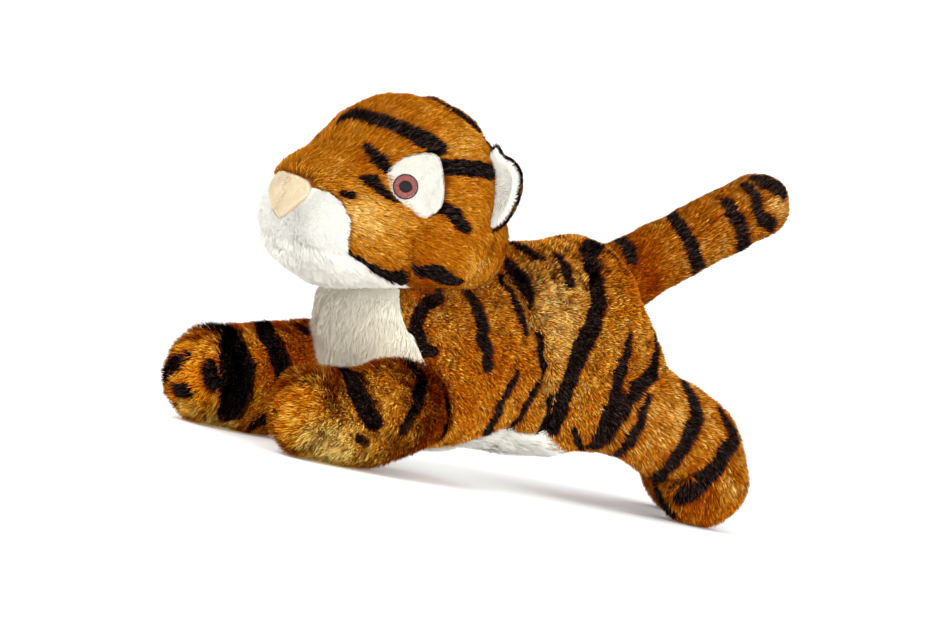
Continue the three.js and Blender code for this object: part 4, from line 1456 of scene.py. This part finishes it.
def stitched_eye(side, title):
    """The iris as a ring of radial stitches with a dark edge, and the pupil in satin stitch."""
    chance = np.random.default_rng(SEED + 70 + side)
    s, c = sizes(), colours()
    patch, centre, scale = eye_patch(side), np.array(IRIS_AT), np.array(EYE_SIZE)
    iris, pupil = np.array(c.iris), np.array(c.pupil)
    outer, inner = mm(s.iris_wide) / 2, mm(s.pupil_wide) / 2
    ways = spokes(even_turns(IRIS_SPOKES) + chance.normal(0, 0.012, IRIS_SPOKES))
    starts, ends = (centre + ways * reach / scale for reach in (inner - 0.5, outer - 0.15))
    ring = satin(patch, starts, ends, 1.35, 0.27, iris, chance)
    turn = even_turns(IRIS_EDGE)
    starts, ends = (centre + spokes(turn + half) * outer / scale for half in (-0.16, 0.16))
    edge = satin(patch, starts, ends, 1.15, 0.3, pupil * 1.4, chance)
    rows = np.linspace(-0.93, 0.93, PUPIL_ROWS)
    reach = np.sqrt(1 - rows**2)
    starts, ends = (centre + np.stack([rows, way * reach], 1) * inner / scale for way in (-1, 1))
    yarn = [stitch_thread()]
    return (
        piece(f"iris_stitching_{title}", [ring, edge], yarn),
        piece(f"pupil_stitching_{title}", [satin(patch, starts, ends, 1.9, 0.28, pupil, chance)], yarn),
    )


# Ears


def ear_layer(side, inner):
    """One cloth of an ear: dished in front, domed behind, both closed round the rim."""
    s = sizes()
    turn = math.radians(EAR_TURN)
    out_way = np.array([math.sin(turn), side * math.cos(turn), 0.0])
    front = np.array([-math.cos(turn), side * math.sin(turn), 0.0])
    root = head_place()[0] + np.array(EAR_ROOT) * (1, side, 1)
    places, faces, share = patch_net(EAR, 16)
    places = places * ((0.8, 0.84) if inner else (0.92, 0.92))
    along, up = places[:, :1] * mm(s.ear_reach), places[:, 1:] * mm(s.ear_tall)
    flat = root + out_way * along + (0, 0, 1) * up
    if inner:
        lift = EAR_PUFF * (0.3 + 0.25 * share**2) * np.clip((1 - share) / 0.1, 0, 1) ** 0.5
        points = flat + front * lift[:, None]
    else:
        lift = EAR_PUFF * np.sqrt(np.clip(1 - share**2.6, 0, 1))
        rim = np.clip((share - 0.8) / 0.2, 0, 1)[:, None]
        points = flat - front * lift[:, None] + (flat - flat[0]) * 0.05 * rim
    want = front if inner else -front
    if (normals_of(points, faces) @ want).sum() < 0:
        faces = faces[:, ::-1]
    return Skin(points, faces), out_way


def ear(side, title, inner):
    """One cloth of an ear with its pile, which fringes out past the rim."""
    chance = np.random.default_rng(SEED + 90 + side + 3 * inner)
    c, p = colours(), pile()
    name = f"ear_{'inner' if inner else 'back'}_{title}"
    skin, out_way = ear_layer(side, inner)
    roots, out, _ = scattered(skin, thinned(EAR_LOCKS), chance)
    keep = outside(roots, forms()["head"]) > -7
    roots, out = roots[keep], out[keep]
    comb = unit(roots - skin.points[0] + out_way * 6)
    if inner:
        # Painted light: the inner ear's white is lightened
        tint = pale_tint(c.white, roots, chance, 0.04) * 1.1
        long, shade, even, top = mm(p.muzzle_pile) * 1.5, 0.95, 0.8, pale_pile()
    else:
        tint = orange_tint("ear", roots, out, chance, name)
        high = (roots[:, 2] - head_place()[0][2] - EAR_ROOT[2]) / mm(sizes().ear_tall)
        band = np.any([(high > low) & (high < top) for low, top in EAR_BANDS], 0)
        band = band & (chance.random(len(roots)) < 0.96)
        tint[band] = black_tint(band.sum(), chance, 5, 0.5)
        long, shade, even, top = mm(p.face_pile) * 0.5, 0.35, 0.0, plush_pile()
    fur = locks(roots, out, comb, long, 68, 0.4, lambda spots: tint, chance, 0.25, shade, even)
    # Painted shade: each ear's backing is its pile's colour darkened, the back's from brown
    if inner:
        shaded_backing = pale_tint(c.white, skin.points, chance, 0.05) * 0.9
    else:
        shaded_backing = np.tile(np.array(c.brown), (len(skin.points), 1)) * 0.4
    cloth = (skin.points, skin.faces, NO_QUADS, shaded_backing, skin.out, 0)
    return piece(name, [cloth, (*fur, 1)], [backing_cloth(), top])


def sew_panels(form, panels, stuffed, seed):
    """Sews a form's panels, one of which also stands for the stuffing."""
    for k, (title, (slot, look)) in enumerate(panels.items()):
        nodes = (title, f"{form}_stuffing") if title == stuffed else (title,)
        finish_soft(sewn(form, k, title, look, seed + k), form, nodes)


class SewHead(bpy.types.Operator):
    """Sews and stuffs the head's six panels"""

    bl_idname = "tiger.head"
    bl_label = "Head panels"

    def execute(self, context):
        sew_panels("head", HEAD_PANELS, "crown_gusset", 0)
        return {"FINISHED"}


class SewFace(bpy.types.Operator):
    """Sews on the nose and eye patches and stitches the eyes"""

    bl_idname = "tiger.face"
    bl_label = "Nose and eyes"

    def execute(self, context):
        c = colours()
        patch = "nose_patch"
        made = felt(patch, nose_patch(), NOSE_PATCH, c.peach, nap=0.7, proud=-0.7, seed=61)
        finish_soft(made, "head", (patch,))
        for side, title in SIDES:
            patch = f"eye_patch_{title}"
            made = felt(patch, eye_patch(side), EYE_PATCH, c.felt, nap=1.2, proud=0.4, seed=62)
            finish_soft(made, "head", (patch,))
            for stitched, thread in zip(stitched_eye(side, title), ("brown_thread", "black_thread")):
                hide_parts(stitched.name.removesuffix("_sewn"))
                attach(stitched, "head")
        return {"FINISHED"}


class SewEars(bpy.types.Operator):
    """Sews both ears, white in front and striped behind"""

    bl_idname = "tiger.ears"
    bl_label = "Ears"

    def execute(self, context):
        for side, title in SIDES:
            for inner in (True, False):
                made = ear(side, title, inner)
                node = made.name.removesuffix("_sewn")
                finish_soft(made, "head", (node,))
        return {"FINISHED"}


class SewTorso(bpy.types.Operator):
    """Sews and stuffs the torso's six panels"""

    bl_idname = "tiger.torso"
    bl_label = "Torso panels"

    def execute(self, context):
        sew_panels("torso", TORSO_PANELS, "belly_panel", 20)
        return {"FINISHED"}


# Spans before and after a sleeve's joint, in metres
LEG_BEND = (0.022, 0.018)
TAIL_BEND = (0.014, 0.016)


class SewLegs(bpy.types.Operator):
    """Sews and stuffs the four legs"""

    bl_idname = "tiger.legs"
    bl_label = "Legs"

    def execute(self, context):
        for k, name in enumerate(LEGS):
            made = sewn(name, 0, name, LEG, 40 + k)
            root, way = Vector(JOINTS[name] / 1000), Vector((-1 if name.startswith("front") else 1, 0, 0))
            bend = ("torso", name, root - way * LEG_BEND[0], root + way * LEG_BEND[1])
            finish_soft(made, bend, (f"{name}_cover", f"{name}_stuffing"))
        return {"FINISHED"}


class SewTail(bpy.types.Operator):
    """Sews and stuffs the tail"""

    bl_idname = "tiger.tail"
    bl_label = "Tail"

    def execute(self, context):
        made = sewn("tail", 0, "tail", TAIL, 50)
        root, aim = Vector(JOINTS["tail"] / 1000), Vector(TAIL_AIM).normalized()
        bend = ("torso", "tail", root - aim * TAIL_BEND[0], root + aim * TAIL_BEND[1])
        finish_soft(made, bend, ("tail_cover", "tail_stuffing"))
        return {"FINISHED"}


# Half width of the floor in metres, the light it gives to the toy, and how much less of it the lens sees
FLOOR_HALF = 12.0
FLOOR_LIGHT = 0.3
LENS_LESS = 0.2
# Each lamp's kind, its way from the toy towards the camera, right and up, and its size, power and colour
LAMPS = {
    "key_lamp": ("SUN", (0.8, -0.55, 0.75), 0.35, 1.8, (1, 0.985, 0.96)),
    "fill_lamp": ("AREA", (0.9, 0.5, -0.05), 1.0, 9.0, (0.96, 0.98, 1)),
    "rear_lamp": ("SUN", (-0.9, 0.5, 0.6), 0.6, 1.2, (1, 1, 1)),
}


def white_sweep():
    """Matt white card that the lens sees as plain white and that keeps the toy's shadow soft."""
    made, tree, shader = blank("White sweep")
    ray = node_for(tree, "ShaderNodeLightPath")
    lit = node_for(
        tree, "ShaderNodeMath", operation="MULTIPLY_ADD",
        inputs={0: ray.outputs["Is Camera Ray"], 1: -LENS_LESS, 2: FLOOR_LIGHT},
    )
    tree.links.new(lit.outputs["Value"], shader.inputs["Emission Strength"])
    shader.inputs["Base Color"].default_value = (0.86, 0.86, 0.86, 1)
    shader.inputs["Roughness"].default_value = 0.9
    shader.inputs["Emission Color"].default_value = (1, 1, 1, 1)
    return made


def studio_air():
    """White surroundings, a little brighter to the toy than to the lens."""
    world = bpy.data.worlds.get("Studio air") or bpy.data.worlds.new("Studio air")
    world.use_nodes = True
    tree = world.node_tree
    tree.nodes.clear()
    ray = node_for(tree, "ShaderNodeLightPath")
    seen, soft = (
        node_for(tree, "ShaderNodeBackground", inputs={"Color": colour, "Strength": power})
        for colour, power in (((1, 1, 1, 1), 1.0), ((0.98, 0.99, 1, 1), 1.2))
    )
    both = node_for(
        tree, "ShaderNodeMixShader",
        inputs={0: ray.outputs["Is Camera Ray"], 1: soft.outputs[0], 2: seen.outputs[0]},
    )
    node_for(tree, "ShaderNodeOutputWorld", inputs={"Surface": both.outputs["Shader"]})
    return world


def lamp_for(name, kind, way, size, power, colour):
    """One of the stage's lamps, aimed at the middle of the toy."""
    lamp = bpy.data.lights.new(name, kind)
    lamp.energy, lamp.color = power, colour
    if kind == "SUN":
        lamp.angle = size
    else:
        lamp.shape, lamp.size = "DISK", size
    at = Vector(np.array(way) @ np.array(photo_axes()))
    thing = shown(name, lamp)
    thing.location = Vector(photo_target() / 1000) + at
    thing.rotation_mode = "QUATERNION"
    thing.rotation_quaternion = (-at).to_track_quat("-Z", "Y")
    return thing


def photo_camera():
    """The photograph's camera: far off, a little above the floor and rolled."""
    lens = bpy.data.cameras.new("camera")
    lens.sensor_width = 36
    lens.lens = lens.sensor_width * PHOTO_DISTANCE / (PHOTO_SIZE[0] * PHOTO_SCALE)
    lens.clip_end = 60
    camera = shown("camera", lens)
    back, right, up = (Vector(way) for way in photo_axes())
    roll = math.radians(PHOTO_AIM[2])
    level = right * math.cos(roll) + up * math.sin(roll)
    upright = up * math.cos(roll) - right * math.sin(roll)
    place = Matrix.Translation(Vector(photo_target() / 1000) + back * PHOTO_DISTANCE / 1000)
    camera.matrix_world = place @ Matrix((level, upright, back)).transposed().to_4x4()
    return camera


class SetStage(bpy.types.Operator):
    """Makes the floor, the lamps and the camera"""

    bl_idname = "tiger.stage"
    bl_label = "Stage"

    def execute(self, context):
        scene = context.scene
        scene.view_settings.view_transform = "Standard"
        mesh = bpy.data.meshes.new("floor")
        corners = [(x * FLOOR_HALF, y * FLOOR_HALF, 0) for x, y in ((-1, -1), (1, -1), (1, 1), (-1, 1))]
        mesh.from_pydata(corners, [], [(0, 1, 2, 3)])
        mesh.materials.append(white_sweep())
        shown("floor", mesh)
        scene.world = studio_air()
        for name, settings in LAMPS.items():
            lamp_for(name, *settings)
        scene.camera = photo_camera()
        return {"FINISHED"}


OPERATORS = (SewHead, SewFace, SewEars, SewTorso, SewLegs, SewTail, SetStage)


class TigerPanel(bpy.types.Panel):
    """Sizes, piles and colours of the toy, and the steps that sew it"""

    bl_label = "Plush tiger"
    bl_idname = "VIEW3D_PT_tiger"
    bl_space_type = "VIEW_3D"
    bl_region_type = "UI"
    bl_category = "Tiger"

    def draw(self, context):
        for group in (sizes(), pile(), colours()):
            column = self.layout.column()
            for name in group.__annotations__:
                column.prop(group, name)
        for operator in OPERATORS:
            self.layout.operator(operator.bl_idname)


GROUPS = {"tiger_sizes": TigerSizes, "tiger_pile": TigerPile, "tiger_colours": TigerColours}


def register():
    for group in GROUPS.values():
        bpy.utils.register_class(group)
    for operator in OPERATORS:
        bpy.utils.register_class(operator)
    bpy.utils.register_class(TigerPanel)
    for name, group in GROUPS.items():
        setattr(bpy.types.Scene, name, bpy.props.PointerProperty(type=group))


def unregister():
    for name in GROUPS:
        delattr(bpy.types.Scene, name)
    for kind in (TigerPanel, *OPERATORS[::-1], *GROUPS.values()):
        bpy.utils.unregister_class(kind)


def main():
    register()
    for step in (
        bpy.ops.tiger.head, bpy.ops.tiger.face, bpy.ops.tiger.ears, bpy.ops.tiger.torso,
        bpy.ops.tiger.legs, bpy.ops.tiger.tail, bpy.ops.tiger.stage,
    ):
        step()


if __name__ == "__main__":
    main()
